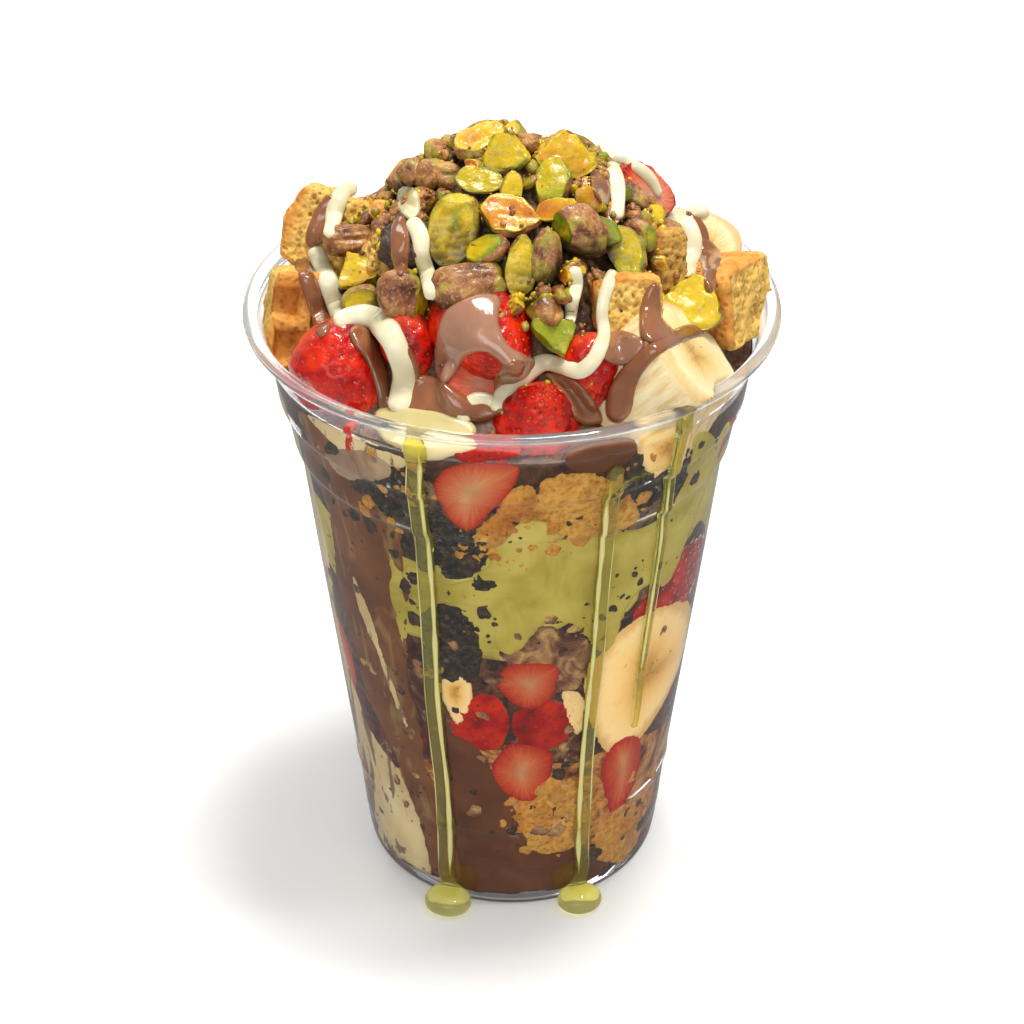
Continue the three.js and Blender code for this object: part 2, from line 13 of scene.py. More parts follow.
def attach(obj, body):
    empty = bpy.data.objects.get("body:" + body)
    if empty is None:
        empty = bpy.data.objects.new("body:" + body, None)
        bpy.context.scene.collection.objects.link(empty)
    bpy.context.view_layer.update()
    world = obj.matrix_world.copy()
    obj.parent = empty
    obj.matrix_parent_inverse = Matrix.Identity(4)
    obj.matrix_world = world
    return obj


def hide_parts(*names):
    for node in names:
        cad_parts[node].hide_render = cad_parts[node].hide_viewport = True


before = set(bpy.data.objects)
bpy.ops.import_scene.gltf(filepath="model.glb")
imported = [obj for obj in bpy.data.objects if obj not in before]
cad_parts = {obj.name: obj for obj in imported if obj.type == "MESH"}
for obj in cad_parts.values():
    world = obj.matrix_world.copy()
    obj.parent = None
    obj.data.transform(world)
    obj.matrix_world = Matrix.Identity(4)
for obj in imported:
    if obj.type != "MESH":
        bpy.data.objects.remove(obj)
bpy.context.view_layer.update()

# ------------------------------------------------------------------ camera
DIST, ELEV, FOCAL, AIM = 600.0, math.radians(32.919), 3157.2, 73.173
EYE = np.array([0.0, -DIST * math.cos(ELEV), AIM + DIST * math.sin(ELEV)])
FWD = np.array([0.0, math.cos(ELEV), -math.sin(ELEV)])
UP = np.array([0.0, math.sin(ELEV), math.cos(ELEV)])
RIGHT = np.array([1.0, 0.0, 0.0])

cam_data = bpy.data.cameras.new("camera")
cam_data.sensor_width = 36.0
cam_data.lens = FOCAL * 36.0 / 1024.0
cam_data.clip_start, cam_data.clip_end = 0.01, 20.0
camera = bpy.data.objects.new("camera", cam_data)
bpy.context.scene.collection.objects.link(camera)
camera.location = EYE / 1000.0
camera.rotation_euler = Vector(FWD).to_track_quat("-Z", "Y").to_euler()
bpy.context.scene.camera = camera


def project(p):
    d = np.atleast_2d(p) - EYE
    z = d @ FWD
    return np.stack([512 + FOCAL * (d @ RIGHT) / z, 512 - FOCAL * (d @ UP) / z], -1)


def rays(px):
    px = np.atleast_2d(np.asarray(px, float))
    d = FWD + np.outer((px[:, 0] - 512) / FOCAL, RIGHT) - np.outer((px[:, 1] - 512) / FOCAL, UP)
    return d / np.linalg.norm(d, axis=1)[:, None]


# ------------------------------------------------------------------ noise
def hash3(i, j, k, seed):
    n = (i * 73856093) ^ (j * 19349663) ^ (k * 83492791) ^ (int(seed) * 40503 + 977)
    n = (n ^ (n >> 13)) & 0x7FFFFFFF
    n = (n * 1274126177) & 0x7FFFFFFF
    n = n ^ (n >> 15)
    n = (n * 668265263) & 0x7FFFFFFF
    return ((n >> 7) & 0xFFFF) / 65535.0


def vnoise(p, seed=0):
    p = np.asarray(p, float)
    f = np.floor(p).astype(np.int64)
    t = p - f
    t = t * t * (3 - 2 * t)
    out = np.zeros(len(p))
    for dx in (0, 1):
        wx = t[:, 0] if dx else 1 - t[:, 0]
        for dy in (0, 1):
            wy = wx * (t[:, 1] if dy else 1 - t[:, 1])
            for dz in (0, 1):
                w = wy * (t[:, 2] if dz else 1 - t[:, 2])
                out += w * hash3(f[:, 0] + dx, f[:, 1] + dy, f[:, 2] + dz, seed)
    return out * 2 - 1


def fbm(p, octaves=3, seed=0, gain=0.5):
    out, amp, total = 0.0, 1.0, 0.0
    q = np.asarray(p, float)
    for o in range(octaves):
        out = out + amp * vnoise(q, seed + 31 * o)
        total += amp
        amp *= gain
        q = q * 2.03 + 11.7
    return out / total


def worley(p, seed=0):
    p = np.asarray(p, float)
    f = np.floor(p).astype(np.int64)
    best = np.full(len(p), 9.0)
    for dx in (-1, 0, 1):
        for dy in (-1, 0, 1):
            for dz in (-1, 0, 1):
                c = f + (dx, dy, dz)
                q = c + np.stack([hash3(c[:, 0], c[:, 1], c[:, 2], seed + s) for s in (1, 2, 3)], 1)
                best = np.minimum(best, ((p - q) ** 2).sum(1))
    return np.sqrt(best)


def smoothstep(a, b, x):
    t = np.clip((x - a) / (b - a), 0, 1)
    return t * t * (3 - 2 * t)


# ------------------------------------------------------------------ meshes
class Mesh:
    """Vertices in mm, triangles and quads with a material index each, and two vector attributes."""

    def __init__(self, v, t=None, q=None, loc=None, mask=None, tm=0, qm=0):
        self.v = np.asarray(v, float).reshape(-1, 3)
        self.t = np.zeros((0, 3), int) if t is None else np.asarray(t, int).reshape(-1, 3)
        self.q = np.zeros((0, 4), int) if q is None else np.asarray(q, int).reshape(-1, 4)
        n = len(self.v)
        self.loc = np.zeros((n, 3)) if loc is None else np.asarray(loc, float)
        self.mask = np.zeros((n, 3)) if mask is None else np.asarray(mask, float)
        self.tm = np.broadcast_to(tm, len(self.t)).copy()
        self.qm = np.broadcast_to(qm, len(self.q)).copy()

    def moved(self, m, at=(0, 0, 0)):
        made = self.copy()
        made.v = made.v @ np.asarray(m).T + np.asarray(at, float)
        return made

    def copy(self):
        return Mesh(self.v.copy(), self.t, self.q, self.loc.copy(), self.mask.copy(), self.tm, self.qm)

    def tris(self):
        q = self.q
        return np.concatenate([self.t, q[:, [0, 1, 2]], q[:, [0, 2, 3]]])


def join(meshes):
    off, out = 0, []
    v, t, q, loc, mask, tm, qm = [], [], [], [], [], [], []
    for m in meshes:
        v.append(m.v), loc.append(m.loc), mask.append(m.mask)
        t.append(m.t + off), q.append(m.q + off), tm.append(m.tm), qm.append(m.qm)
        off += len(m.v)
    cat = np.concatenate
    return Mesh(cat(v), cat(t), cat(q), cat(loc), cat(mask), cat(tm), cat(qm))


def normals(m):
    t = m.tris()
    a, b, c = m.v[t[:, 0]], m.v[t[:, 1]], m.v[t[:, 2]]
    n = np.cross(b - a, c - a)
    out = np.zeros_like(m.v)
    for k in range(3):
        np.add.at(out, t[:, k], n)
    return out / np.maximum(np.linalg.norm(out, axis=1), 1e-12)[:, None]


_balls = {}


def ball(level):
    """An icosphere's unit vertices and triangles."""
    if level not in _balls:
        bm = bmesh.new()
        bmesh.ops.create_icosphere(bm, subdivisions=level, radius=1.0)
        v = np.array([x.co[:] for x in bm.verts])
        t = np.array([[x.index for x in f.verts] for f in bm.faces])
        bm.free()
        _balls[level] = (v / np.linalg.norm(v, axis=1)[:, None], t)
    return _balls[level]


def block(nx, ny, nz):
    """The surface grid of a cube from -1 to 1, with that many cells along each side."""
    pts, quads = [], []
    count = 0
    for axis, (na, nb) in enumerate(((ny, nz), (nz, nx), (nx, ny))):
        for side in (-1, 1):
            a, b = np.meshgrid(np.linspace(-1, 1, na + 1), np.linspace(-1, 1, nb + 1), indexing="ij")
            p = np.zeros((a.size, 3))
            p[:, (axis + 1) % 3], p[:, (axis + 2) % 3], p[:, axis] = a.ravel(), b.ravel(), side
            i = np.arange(a.size).reshape(na + 1, nb + 1)
            f = np.stack([i[:-1, :-1], i[1:, :-1], i[1:, 1:], i[:-1, 1:]], -1).reshape(-1, 4)
            if side < 0:
                f = f[:, ::-1]
            pts.append(p), quads.append(f + count)
            count += len(p)
    p, q = np.concatenate(pts), np.concatenate(quads)
    _, first, inverse = np.unique(np.round(p, 6), axis=0, return_index=True, return_inverse=True)
    return p[first], inverse.reshape(-1)[q]


def euler(rx, ry, rz):
    """Rz @ Ry @ Rx in degrees."""
    x, y, z = (math.radians(a) for a in (rx, ry, rz))
    mx = np.array([[1, 0, 0], [0, math.cos(x), -math.sin(x)], [0, math.sin(x), math.cos(x)]])
    my = np.array([[math.cos(y), 0, math.sin(y)], [0, 1, 0], [-math.sin(y), 0, math.cos(y)]])
    mz = np.array([[math.cos(z), -math.sin(z), 0], [math.sin(z), math.cos(z), 0], [0, 0, 1]])
    return mz @ my @ mx


def facing(theta, tx=0.0, ty=0.0):
    """Local X across the picture turned by theta, local Z towards the viewer, then leant about X and Y."""
    base = np.stack([RIGHT, UP, -FWD], 1)
    return base @ euler(0, 0, theta) @ euler(tx, ty, 0)


ALL_PIECES = []


def emit(name, mesh, materials, nodes=(), smooth=True):
    me = bpy.data.meshes.new(name)
    nt, nq = len(mesh.t), len(mesh.q)
    me.vertices.add(len(mesh.v))
    me.vertices.foreach_set("co", (mesh.v / 1000.0).astype(np.float32).ravel())
    me.loops.add(3 * nt + 4 * nq)
    me.loops.foreach_set("vertex_index", np.concatenate([mesh.t.ravel(), mesh.q.ravel()]).astype(np.int32))
    me.polygons.add(nt + nq)
    starts = np.concatenate([np.arange(nt) * 3, 3 * nt + np.arange(nq) * 4])
    me.polygons.foreach_set("loop_start", starts.astype(np.int32))
    me.polygons.foreach_set("material_index", np.concatenate([mesh.tm, mesh.qm]).astype(np.int32))
    me.polygons.foreach_set("use_smooth", np.full(nt + nq, smooth))
    for attr, data in (("loc", mesh.loc), ("mask", mesh.mask)):
        a = me.attributes.new(name=attr, type="FLOAT_VECTOR", domain="POINT")
        a.data.foreach_set("vector", data.astype(np.float32).ravel())
    me.update(calc_edges=True)
    me.validate()
    for m in materials if isinstance(materials, (list, tuple)) else [materials]:
        me.materials.append(m)
    obj = bpy.data.objects.new(name, me)
    bpy.context.scene.collection.objects.link(obj)
    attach(obj, "root")
    if nodes:
        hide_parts(*([nodes] if isinstance(nodes, str) else nodes))
    ALL_PIECES.append(obj)
    return obj


# ------------------------------------------------------------------ materials
def lin(r, g, b):
    out = []
    for c in (r, g, b):
        c /= 255.0
        out.append(c / 12.92 if c <= 0.04045 else ((c + 0.055) / 1.055) ** 2.4)
    return (*out, 1.0)


class Graph:
    def __init__(self, name):
        self.material = bpy.data.materials.new(name)
        self.material.use_nodes = True
        self.nodes = self.material.node_tree.nodes
        self.links = self.material.node_tree.links
        self.nodes.clear()
        self.out = self.nodes.new("ShaderNodeOutputMaterial")
        self.main = self.nodes.new("ShaderNodeBsdfPrincipled")
        self.links.new(self.main.outputs[0], self.out.inputs[0])

    def put(self, socket, value):
        if value is None:
            return
        if isinstance(value, bpy.types.NodeSocket):
            self.links.new(value, socket)
        else:
            socket.default_value = value

    def set(self, **values):
        for k, v in values.items():
            self.put(self.main.inputs[k.replace("_", " ")], v)

    def attr(self, name):
        n = self.nodes.new("ShaderNodeAttribute")
        n.attribute_name = name
        return n.outputs["Vector"]

    def split(self, vec):
        n = self.nodes.new("ShaderNodeSeparateXYZ")
        self.links.new(vec, n.inputs[0])
        return n.outputs

    def join(self, x, y, z):
        n = self.nodes.new("ShaderNodeCombineXYZ")
        for s, v in zip(n.inputs, (x, y, z)):
            self.put(s, v)
        return n.outputs[0]

    def where(self):
        return self.nodes.new("ShaderNodeTexCoord").outputs["Object"]

    def math(self, op, a, b=None, c=None):
        n = self.nodes.new("ShaderNodeMath")
        n.operation = op
        for s, v in zip(n.inputs, (a, b, c)):
            self.put(s, v)
        return n.outputs[0]

    def scale(self, vec, x, y=None, z=None):
        n = self.nodes.new("ShaderNodeVectorMath")
        n.operation = "MULTIPLY"
        self.links.new(vec, n.inputs[0])
        n.inputs[1].default_value = (x, x if y is None else y, x if z is None else z)
        return n.outputs[0]

    def noise(self, vec, scale, detail=3.0, rough=0.55, distort=0.0):
        n = self.nodes.new("ShaderNodeTexNoise")
        self.links.new(vec, n.inputs["Vector"])
        n.inputs["Scale"].default_value = scale
        n.inputs["Detail"].default_value = detail
        n.inputs["Roughness"].default_value = rough
        n.inputs["Distortion"].default_value = distort
        return n.outputs[0]

    def cells(self, vec, scale, feature="F1", out="Distance"):
        n = self.nodes.new("ShaderNodeTexVoronoi")
        n.feature = feature
        self.links.new(vec, n.inputs["Vector"])
        n.inputs["Scale"].default_value = scale
        return n.outputs[out]

    def ramp(self, fac, stops, mode="LINEAR"):
        n = self.nodes.new("ShaderNodeValToRGB")
        n.color_ramp.interpolation = mode
        self.put(n.inputs[0], fac)
        e = n.color_ramp.elements
        while len(e) < len(stops):
            e.new(0.5)
        for x, (pos, colour) in zip(e, stops):
            x.position = pos
        for x, (pos, colour) in zip(e, stops):
            x.color = colour if isinstance(colour, tuple) else (colour, colour, colour, 1.0)
        return n.outputs[0]

    def mix(self, fac, a, b, mode="MIX"):
        n = self.nodes.new("ShaderNodeMix")
        n.data_type = "RGBA"
        n.blend_type = mode
        self.put(n.inputs["Factor"], fac)
        self.put(n.inputs[6], a)
        self.put(n.inputs[7], b)
        return n.outputs[2]

    def bump(self, height, strength=0.4, distance=0.0003, normal=None):
        n = self.nodes.new("ShaderNodeBump")
        n.inputs["Strength"].default_value = strength
        n.inputs["Distance"].default_value = distance
        self.put(n.inputs["Height"], height)
        self.put(n.inputs["Normal"], normal)
        self.links.new(n.outputs[0], self.main.inputs["Normal"])
        return n.outputs[0]

    def band(self, value, lo, hi):
        """0 below lo to 1 above hi."""
        n = self.nodes.new("ShaderNodeMapRange")
        n.interpolation_type = "SMOOTHSTEP"
        self.put(n.inputs["Value"], value)
        n.inputs["From Min"].default_value = lo
        n.inputs["From Max"].default_value = hi
        return n.outputs[0]


def clear_material(name, colour=(1, 1, 1, 1), rough=0.02, ior=1.5, shadow=(0.96, 0.97, 0.96, 1)):
    g = Graph(name)
    g.set(Base_Color=colour, Roughness=rough, IOR=ior, Transmission_Weight=1.0)
    t = g.nodes.new("ShaderNodeBsdfTransparent")
    t.inputs[0].default_value = shadow
    path = g.nodes.new("ShaderNodeLightPath")
    mixed = g.nodes.new("ShaderNodeMixShader")
    g.links.new(path.outputs["Is Shadow Ray"], mixed.inputs[0])
    g.links.new(g.main.outputs[0], mixed.inputs[1])
    g.links.new(t.outputs[0], mixed.inputs[2])
    g.links.new(mixed.outputs[0], g.out.inputs[0])
    return g


def make_materials():
    m = {}
    g = clear_material("clear_plastic", (0.985, 0.985, 0.985, 1), 0.03, 1.45)
    g.set(Specular_IOR_Level=0.4)
    m["clear"] = g.material
    # the lip is milky white: partly painted light standing in for the bright bands the rolled lip throws
    g = clear_material("clear_plastic_lip", (0.90, 0.905, 0.91, 1), 0.06, 1.45)
    g.set(Transmission_Weight=0.9, Specular_IOR_Level=0.5)
    m["lip"] = g.material
    g = clear_material("pistachio_syrup", lin(230, 225, 144), 0.03, 1.33, lin(236, 230, 160))
    g.set(Transmission_Weight=0.94, Specular_IOR_Level=1.0)
    m["syrup"] = g.material
    g = clear_material("pistachio_syrup_drop", lin(244, 240, 168), 0.03, 1.36, lin(236, 230, 160))
    g.set(Transmission_Weight=0.78, Specular_IOR_Level=0.9)
    m["bead"] = g.material

    # strawberry: skin, and the cut flesh that shows in slices
    g = Graph("strawberry_flesh_and_skin")
    loc, mask, here = g.attr("loc"), g.attr("mask"), g.where()
    x, y, z = g.split(loc)
    cut, tone, pale = g.split(mask)
    r = g.math("SQRT", g.math("ADD", g.math("POWER", x, 2.0), g.math("POWER", y, 2.0)))
    angle = g.math("ARCTAN2", y, x)
    fibre = g.noise(g.join(g.math("MULTIPLY", angle, 7.0), g.math("MULTIPLY", r, 1.4), tone), 1.6, 3.0, 0.6)
    wobble = g.math("ADD", r, g.math("MULTIPLY", g.math("SUBTRACT", fibre, 0.5), 0.34))
    flesh = g.ramp(
        wobble,
        [
            (0.0, lin(238, 168, 132)),
            (0.25, lin(228, 112, 76)),
            (0.55, lin(214, 66, 34)),
            (0.85, lin(192, 30, 14)),
            (0.98, lin(146, 10, 6)),
        ],
    )
    light = g.ramp(wobble, [(0.0, lin(244, 200, 168)), (0.4, lin(236, 160, 126)), (0.75, lin(226, 110, 78)), (0.92, lin(206, 52, 34)), (1.0, lin(160, 14, 10))])
    flesh = g.mix(g.math("MULTIPLY", pale, 0.85), flesh, light)
    lines = g.noise(g.join(g.math("MULTIPLY", angle, 13.0), g.math("MULTIPLY", r, 0.8), tone), 1.5, 2.0, 0.6)
    flesh = g.mix(g.math("MULTIPLY", g.band(lines, 0.52, 0.72), 0.26), flesh, lin(240, 160, 122))
    flesh = g.mix(g.math("MULTIPLY", g.band(lines, 0.46, 0.32), 0.22), flesh, lin(184, 34, 16))
    soft = g.noise(here, 180.0, 3.0)
    skin = g.ramp(soft, [(0.3, lin(116, 3, 0)), (0.48, lin(184, 11, 1)), (0.68, lin(228, 48, 3))])
    skin = g.mix(g.math("MULTIPLY", g.band(x, -0.5, -1.0), 0.35), skin, lin(236, 110, 66))
    colour = g.mix(cut, skin, flesh)
    colour = g.mix(g.band(tone, 0.0, 1.0), colour, g.mix(0.5, colour, lin(150, 40, 34)))
    g.set(Base_Color=colour, Roughness=0.28, Specular_IOR_Level=0.2)
    g.set(Coat_Weight=0.42)
    g.main.inputs["Coat Roughness"].default_value = 0.04
    g.bump(g.math("ADD", g.noise(here, 1300.0, 3.0), g.math("MULTIPLY", fibre, g.math("MULTIPLY", cut, 1.5))), 0.75, 0.00032)
    m["strawberry"] = g.material

    g = Graph("strawberry_seed")
    here = g.where()
    g.set(Base_Color=g.ramp(g.noise(here, 420.0), [(0.35, lin(112, 22, 8)), (0.62, lin(186, 100, 36))]), Roughness=0.3)
    g.bump(g.noise(here, 3000.0), 0.3, 0.0001)
    m["seed"] = g.material

    # waffle: mask x is crust, y is tone, z is how deep in a pit or dent, painted darker there as shade
    g = Graph("waffle_crust_and_crumb")
    mask, here = g.attr("mask"), g.where()
    crust, tone, deep = g.split(mask)
    big, fine = g.noise(here, 160.0, 3.0), g.noise(here, 900.0, 4.0, 0.65)
    crumb = g.ramp(fine, [(0.28, lin(192, 134, 54)), (0.46, lin(226, 180, 86)), (0.7, lin(240, 206, 120))])
    baked = g.ramp(
        g.math("ADD", g.math("MULTIPLY", big, 0.7), g.math("MULTIPLY", fine, 0.3)),
        [(0.3, lin(158, 86, 30)), (0.44, lin(204, 130, 52)), (0.58, lin(230, 166, 78)), (0.78, lin(244, 200, 116))],
    )
    colour = g.mix(crust, crumb, baked)
    # painted shade: darker the deeper a pit or dent goes
    colour = g.mix(g.math("MULTIPLY", deep, 0.7), colour, lin(140, 86, 36))
    colour = g.mix(g.math("MULTIPLY", tone, 0.8), colour, lin(150, 88, 48), "MULTIPLY")
    pores = g.cells(here, 700.0)
    colour = g.mix(g.math("MULTIPLY", g.band(pores, 0.36, 0.12), 0.4), colour, lin(140, 88, 40))
    g.set(Base_Color=colour, Roughness=0.72, Specular_IOR_Level=0.3)
    g.bump(g.math("ADD", fine, g.band(pores, 0.1, 0.45)), 0.55, 0.0004)
    m["waffle"] = g.material

    # banana: mask x is a cut face
    g = Graph("banana_flesh")
    loc, mask, here = g.attr("loc"), g.attr("mask"), g.where()
    x, y, z = g.split(loc)
    cut, tone, _ = g.split(mask)
    r = g.math("SQRT", g.math("ADD", g.math("POWER", x, 2.0), g.math("POWER", y, 2.0)))
    angle = g.math("ARCTAN2", y, x)
    spokes = g.math("SINE", g.math("MULTIPLY", angle, 3.0))
    rays_n = g.noise(g.join(g.math("MULTIPLY", angle, 6.0), g.math("MULTIPLY", r, 1.2), tone), 1.4, 3.0)
    wob = g.math("ADD", r, g.math("ADD", g.math("MULTIPLY", spokes, 0.05), g.math("MULTIPLY", rays_n, 0.22)))
    face = g.ramp(
        wob,
        [
            (0.10, lin(186, 142, 70)),
            (0.24, lin(206, 166, 88)),
            (0.40, lin(228, 194, 122)),
            (0.62, lin(238, 212, 152)),
            (0.86, lin(242, 222, 172)),
            (1.0, lin(222, 190, 130)),
        ],
    )
    dots = g.cells(g.join(g.math("MULTIPLY", angle, 2.4), g.math("MULTIPLY", r, 7.0), tone), 1.0)
    face = g.mix(g.math("MULTIPLY", g.band(dots, 0.22, 0.08), g.band(r, 0.5, 0.34)), face, lin(120, 84, 40))
    side = g.ramp(g.noise(g.scale(loc, 9.0, 9.0, 1.6), 1.0, 3.0), [(0.34, lin(220, 188, 130)), (0.5, lin(236, 212, 158)), (0.66, lin(244, 226, 184))])
    colour = g.mix(cut, side, face)
    colour = g.mix(g.math("MULTIPLY", g.band(g.noise(here, 230.0, 2.0), 0.62, 0.8), 0.3), colour, lin(206, 168, 110))
    g.set(Base_Color=colour, Roughness=0.42, Coat_Weight=0.2)
    g.main.inputs["Coat Roughness"].default_value = 0.15
    g.bump(g.math("ADD", g.noise(here, 900.0, 3.0), g.math("MULTIPLY", rays_n, 2.0)), 0.35, 0.00025)
    m["banana"] = g.material

    # dark biscuit
    g = Graph("dark_biscuit_crumb")
    mask, here = g.attr("mask"), g.where()
    _, tone, deep = g.split(mask)
    fine = g.noise(here, 750.0, 4.0, 0.7)
    colour = g.ramp(fine, [(0.3, lin(28, 26, 28)), (0.50, lin(58, 54, 54)), (0.66, lin(98, 88, 78)), (0.80, lin(146, 126, 98))])
    colour = g.mix(g.math("MULTIPLY", tone, 0.7), colour, lin(112, 84, 66))
    g.set(Base_Color=colour, Roughness=0.55, Specular_IOR_Level=0.4)
    g.bump(g.math("ADD", fine, g.band(g.cells(here, 900.0), 0.05, 0.5)), 0.6, 0.0005)
    m["biscuit"] = g.material

    # brownie, soaked and shiny
    g = Graph("soaked_brownie")
    here = g.where()
    a, b = g.noise(here, 220.0, 4.0, 0.6, 0.8), g.noise(here, 800.0, 3.0)
    colour = g.ramp(a, [(0.34, lin(64, 42, 40)), (0.46, lin(104, 76, 68)), (0.56, lin(146, 116, 96)), (0.68, lin(186, 164, 122))])
    g.set(Base_Color=colour, Roughness=0.3, Coat_Weight=0.4)
    g.main.inputs["Coat Roughness"].default_value = 0.1
    g.bump(b, 0.5, 0.0004)
    m["brownie"] = g.material

    # milk chocolate sauce
    g = Graph("chocolate_sauce")
    mask, here = g.attr("mask"), g.where()
    _, tone, _ = g.split(mask)
    a = g.noise(here, 110.0, 2.0, 0.5, 0.5)
    colour = g.ramp(a, [(0.3, lin(118, 66, 34)), (0.55, lin(140, 85, 50)), (0.78, lin(162, 104, 66))])
    # lighter and pinker where tone is set: the milk colour of a thin coat, partly a painted sheen
    colour = g.mix(g.math("MULTIPLY", tone, 0.6), colour, lin(200, 156, 130))
    g.set(Base_Color=colour, Roughness=0.2, Specular_IOR_Level=0.55, Coat_Weight=0.7)
    g.main.inputs["Coat Roughness"].default_value = 0.05
    g.bump(g.noise(here, 300.0, 2.0), 0.35, 0.0006)
    m["chocolate"] = g.material

    # chocolate with crumbs in it, the bed of the heap; its top under the nuts is painted near black, painted shade
    # between the nuts
    g = Graph("chocolate_with_crumbs")
    here = g.where()
    a, c = g.noise(here, 300.0, 4.0, 0.65), g.cells(here, 620.0)
    low = g.ramp(a, [(0.3, lin(50, 30, 20)), (0.5, lin(88, 58, 40)), (0.64, lin(116, 80, 54)), (0.76, lin(150, 114, 70))])
    shade_between_nuts = g.ramp(a, [(0.34, lin(24, 14, 9)), (0.48, lin(54, 34, 20)), (0.58, lin(92, 66, 36)), (0.70, lin(140, 116, 58))])
    up = g.band(g.split(here)[2], 0.124, 0.133)
    colour = g.mix(up, low, shade_between_nuts)
    g.set(Base_Color=colour, Roughness=0.5, Specular_IOR_Level=0.4)
    g.bump(g.math("ADD", a, g.band(c, 0.05, 0.5)), 0.7, 0.0006)
    m["bed"] = g.material

    # pale cream and white chocolate
    g = Graph("pale_cream")
    mask, here = g.attr("mask"), g.where()
    _, tone, _ = g.split(mask)
    a = g.noise(here, 130.0, 2.0)
    colour = g.ramp(a, [(0.3, lin(218, 208, 168)), (0.7, lin(236, 229, 196))])
    # darker and greener where tone is set: the cream's green tinge, partly painted shade that holds down the light on
    # the upward pool
    colour = g.mix(g.math("MULTIPLY", tone, 0.8), colour, lin(190, 172, 96))
    g.set(Base_Color=colour, Roughness=0.28, Coat_Weight=0.25)
    g.main.inputs["Coat Roughness"].default_value = 0.1
    g.bump(g.noise(here, 420.0, 2.0), 0.12, 0.0003)
    m["cream"] = g.material

    # pistachio cream with ground nuts
    g = Graph("pistachio_cream")
    here = g.where()
    a, s = g.noise(here, 90.0, 3.0, 0.55, 0.6), g.cells(here, 420.0)
    colour = g.ramp(a, [(0.32, lin(160, 150, 66)), (0.5, lin(184, 175, 90)), (0.7, lin(200, 192, 116))])
    speck = g.math("MULTIPLY", g.band(s, 0.2, 0.08), g.band(g.noise(here, 110.0), 0.48, 0.6))
    colour = g.mix(speck, colour, lin(66, 62, 40))
    g.set(Base_Color=colour, Roughness=0.36)
    g.bump(g.noise(here, 500.0, 3.0), 0.2, 0.0003)
    m["pistachio_cream"] = g.material

    # what lies between the fruit behind the wall
    g = Graph("fruit_and_chocolate_fill")
    here = g.where()
    a, b, c = g.noise(here, 62.0, 4.0, 0.62, 1.4), g.noise(here, 230.0, 4.0, 0.6, 0.8), g.noise(here, 900.0, 3.0)
    colour = g.ramp(
        a,
        [
            (0.30, lin(44, 28, 28)),
            (0.42, lin(84, 54, 46)),
            (0.50, lin(112, 80, 66)),
            (0.56, lin(72, 46, 46)),
            (0.64, lin(120, 44, 38)),
            (0.72, lin(92, 60, 54)),
        ],
    )
    colour = g.mix(g.math("MULTIPLY", g.band(b, 0.56, 0.66), 0.75), colour, lin(158, 132, 104))
    colour = g.mix(g.math("MULTIPLY", g.band(b, 0.44, 0.34), 0.8), colour, lin(36, 26, 30))
    g.set(Base_Color=colour, Roughness=0.3, Coat_Weight=0.3)
    g.main.inputs["Coat Roughness"].default_value = 0.1
    g.bump(g.math("ADD", b, g.math("MULTIPLY", c, 0.3)), 0.6, 0.0006)
    m["fruit_fill"] = g.material

    g = Graph("biscuit_fill")
    here = g.where()
    a, b = g.noise(here, 85.0, 4.0, 0.6, 1.0), g.noise(here, 620.0, 4.0, 0.7)
    colour = g.ramp(a, [(0.34, lin(26, 26, 34)), (0.46, lin(46, 44, 50)), (0.54, lin(96, 84, 74)), (0.62, lin(150, 134, 106)), (0.7, lin(116, 88, 62))])
    colour = g.mix(g.math("MULTIPLY", g.band(b, 0.5, 0.36), 0.8), colour, lin(20, 20, 26))
    colour = g.mix(g.math("MULTIPLY", g.band(b, 0.6, 0.7), 0.6), colour, lin(176, 148, 106))
    g.set(Base_Color=colour, Roughness=0.5)
    g.bump(b, 0.7, 0.0006)
    m["biscuit_fill"] = g.material

    g = Graph("waffle_fill")
    here = g.where()
    a, b = g.noise(here, 105.0, 4.0, 0.62, 1.6), g.noise(here, 560.0, 4.0, 0.7)
    colour = g.ramp(a, [(0.32, lin(66, 38, 26)), (0.42, lin(126, 76, 38)), (0.5, lin(190, 134, 70)), (0.58, lin(220, 180, 118)), (0.66, lin(184, 106, 48)), (0.76, lin(206, 168, 116))])
    colour = g.mix(g.math("MULTIPLY", g.band(b, 0.44, 0.32), 0.7), colour, lin(96, 60, 38))
    g.set(Base_Color=colour, Roughness=0.5, Coat_Weight=0.15)
    g.bump(g.math("ADD", b, g.math("MULTIPLY", a, 2.0)), 0.7, 0.0007)
    m["waffle_fill"] = g.material

    # chocolate that ran down with cream in it
    for key, base, other, amount, ends in (
        ("streak", [(0.3, lin(106, 70, 44)), (0.55, lin(130, 92, 62)), (0.75, lin(148, 108, 74))], lin(166, 152, 104), 0.6, (0.53, 0.66)),
        ("cream_mix", [(0.3, lin(206, 192, 150)), (0.55, lin(226, 216, 178)), (0.75, lin(236, 230, 200))], lin(104, 74, 56), 0.85, (0.545, 0.61)),
    ):
        g = Graph("sauce_" + key)
        here = g.where()
        tilted = g.nodes.new("ShaderNodeMapping")
        g.links.new(here, tilted.inputs["Vector"])
        tilted.inputs["Rotation"].default_value = (0.0, math.radians(-32.0), 0.0)
        tilted.inputs["Scale"].default_value = (1.0, 1.0, 0.3)
        a = g.noise(here, 90.0, 2.0)
        swirl = g.noise(tilted.outputs[0], 150.0, 3.0, 0.55, 1.6)
        colour = g.mix(g.math("MULTIPLY", g.band(swirl, *ends), amount), g.ramp(a, base), other)
        specks = g.cells(here, 330.0)
        colour = g.mix(g.math("MULTIPLY", g.band(specks, 0.17, 0.09), 0.7), colour, lin(50, 40, 36))
        g.set(Base_Color=colour, Roughness=0.26, Coat_Weight=0.25)
        g.main.inputs["Coat Roughness"].default_value = 0.12
        g.bump(g.math("ADD", a, swirl), 0.2, 0.0004)
        m[key] = g.material
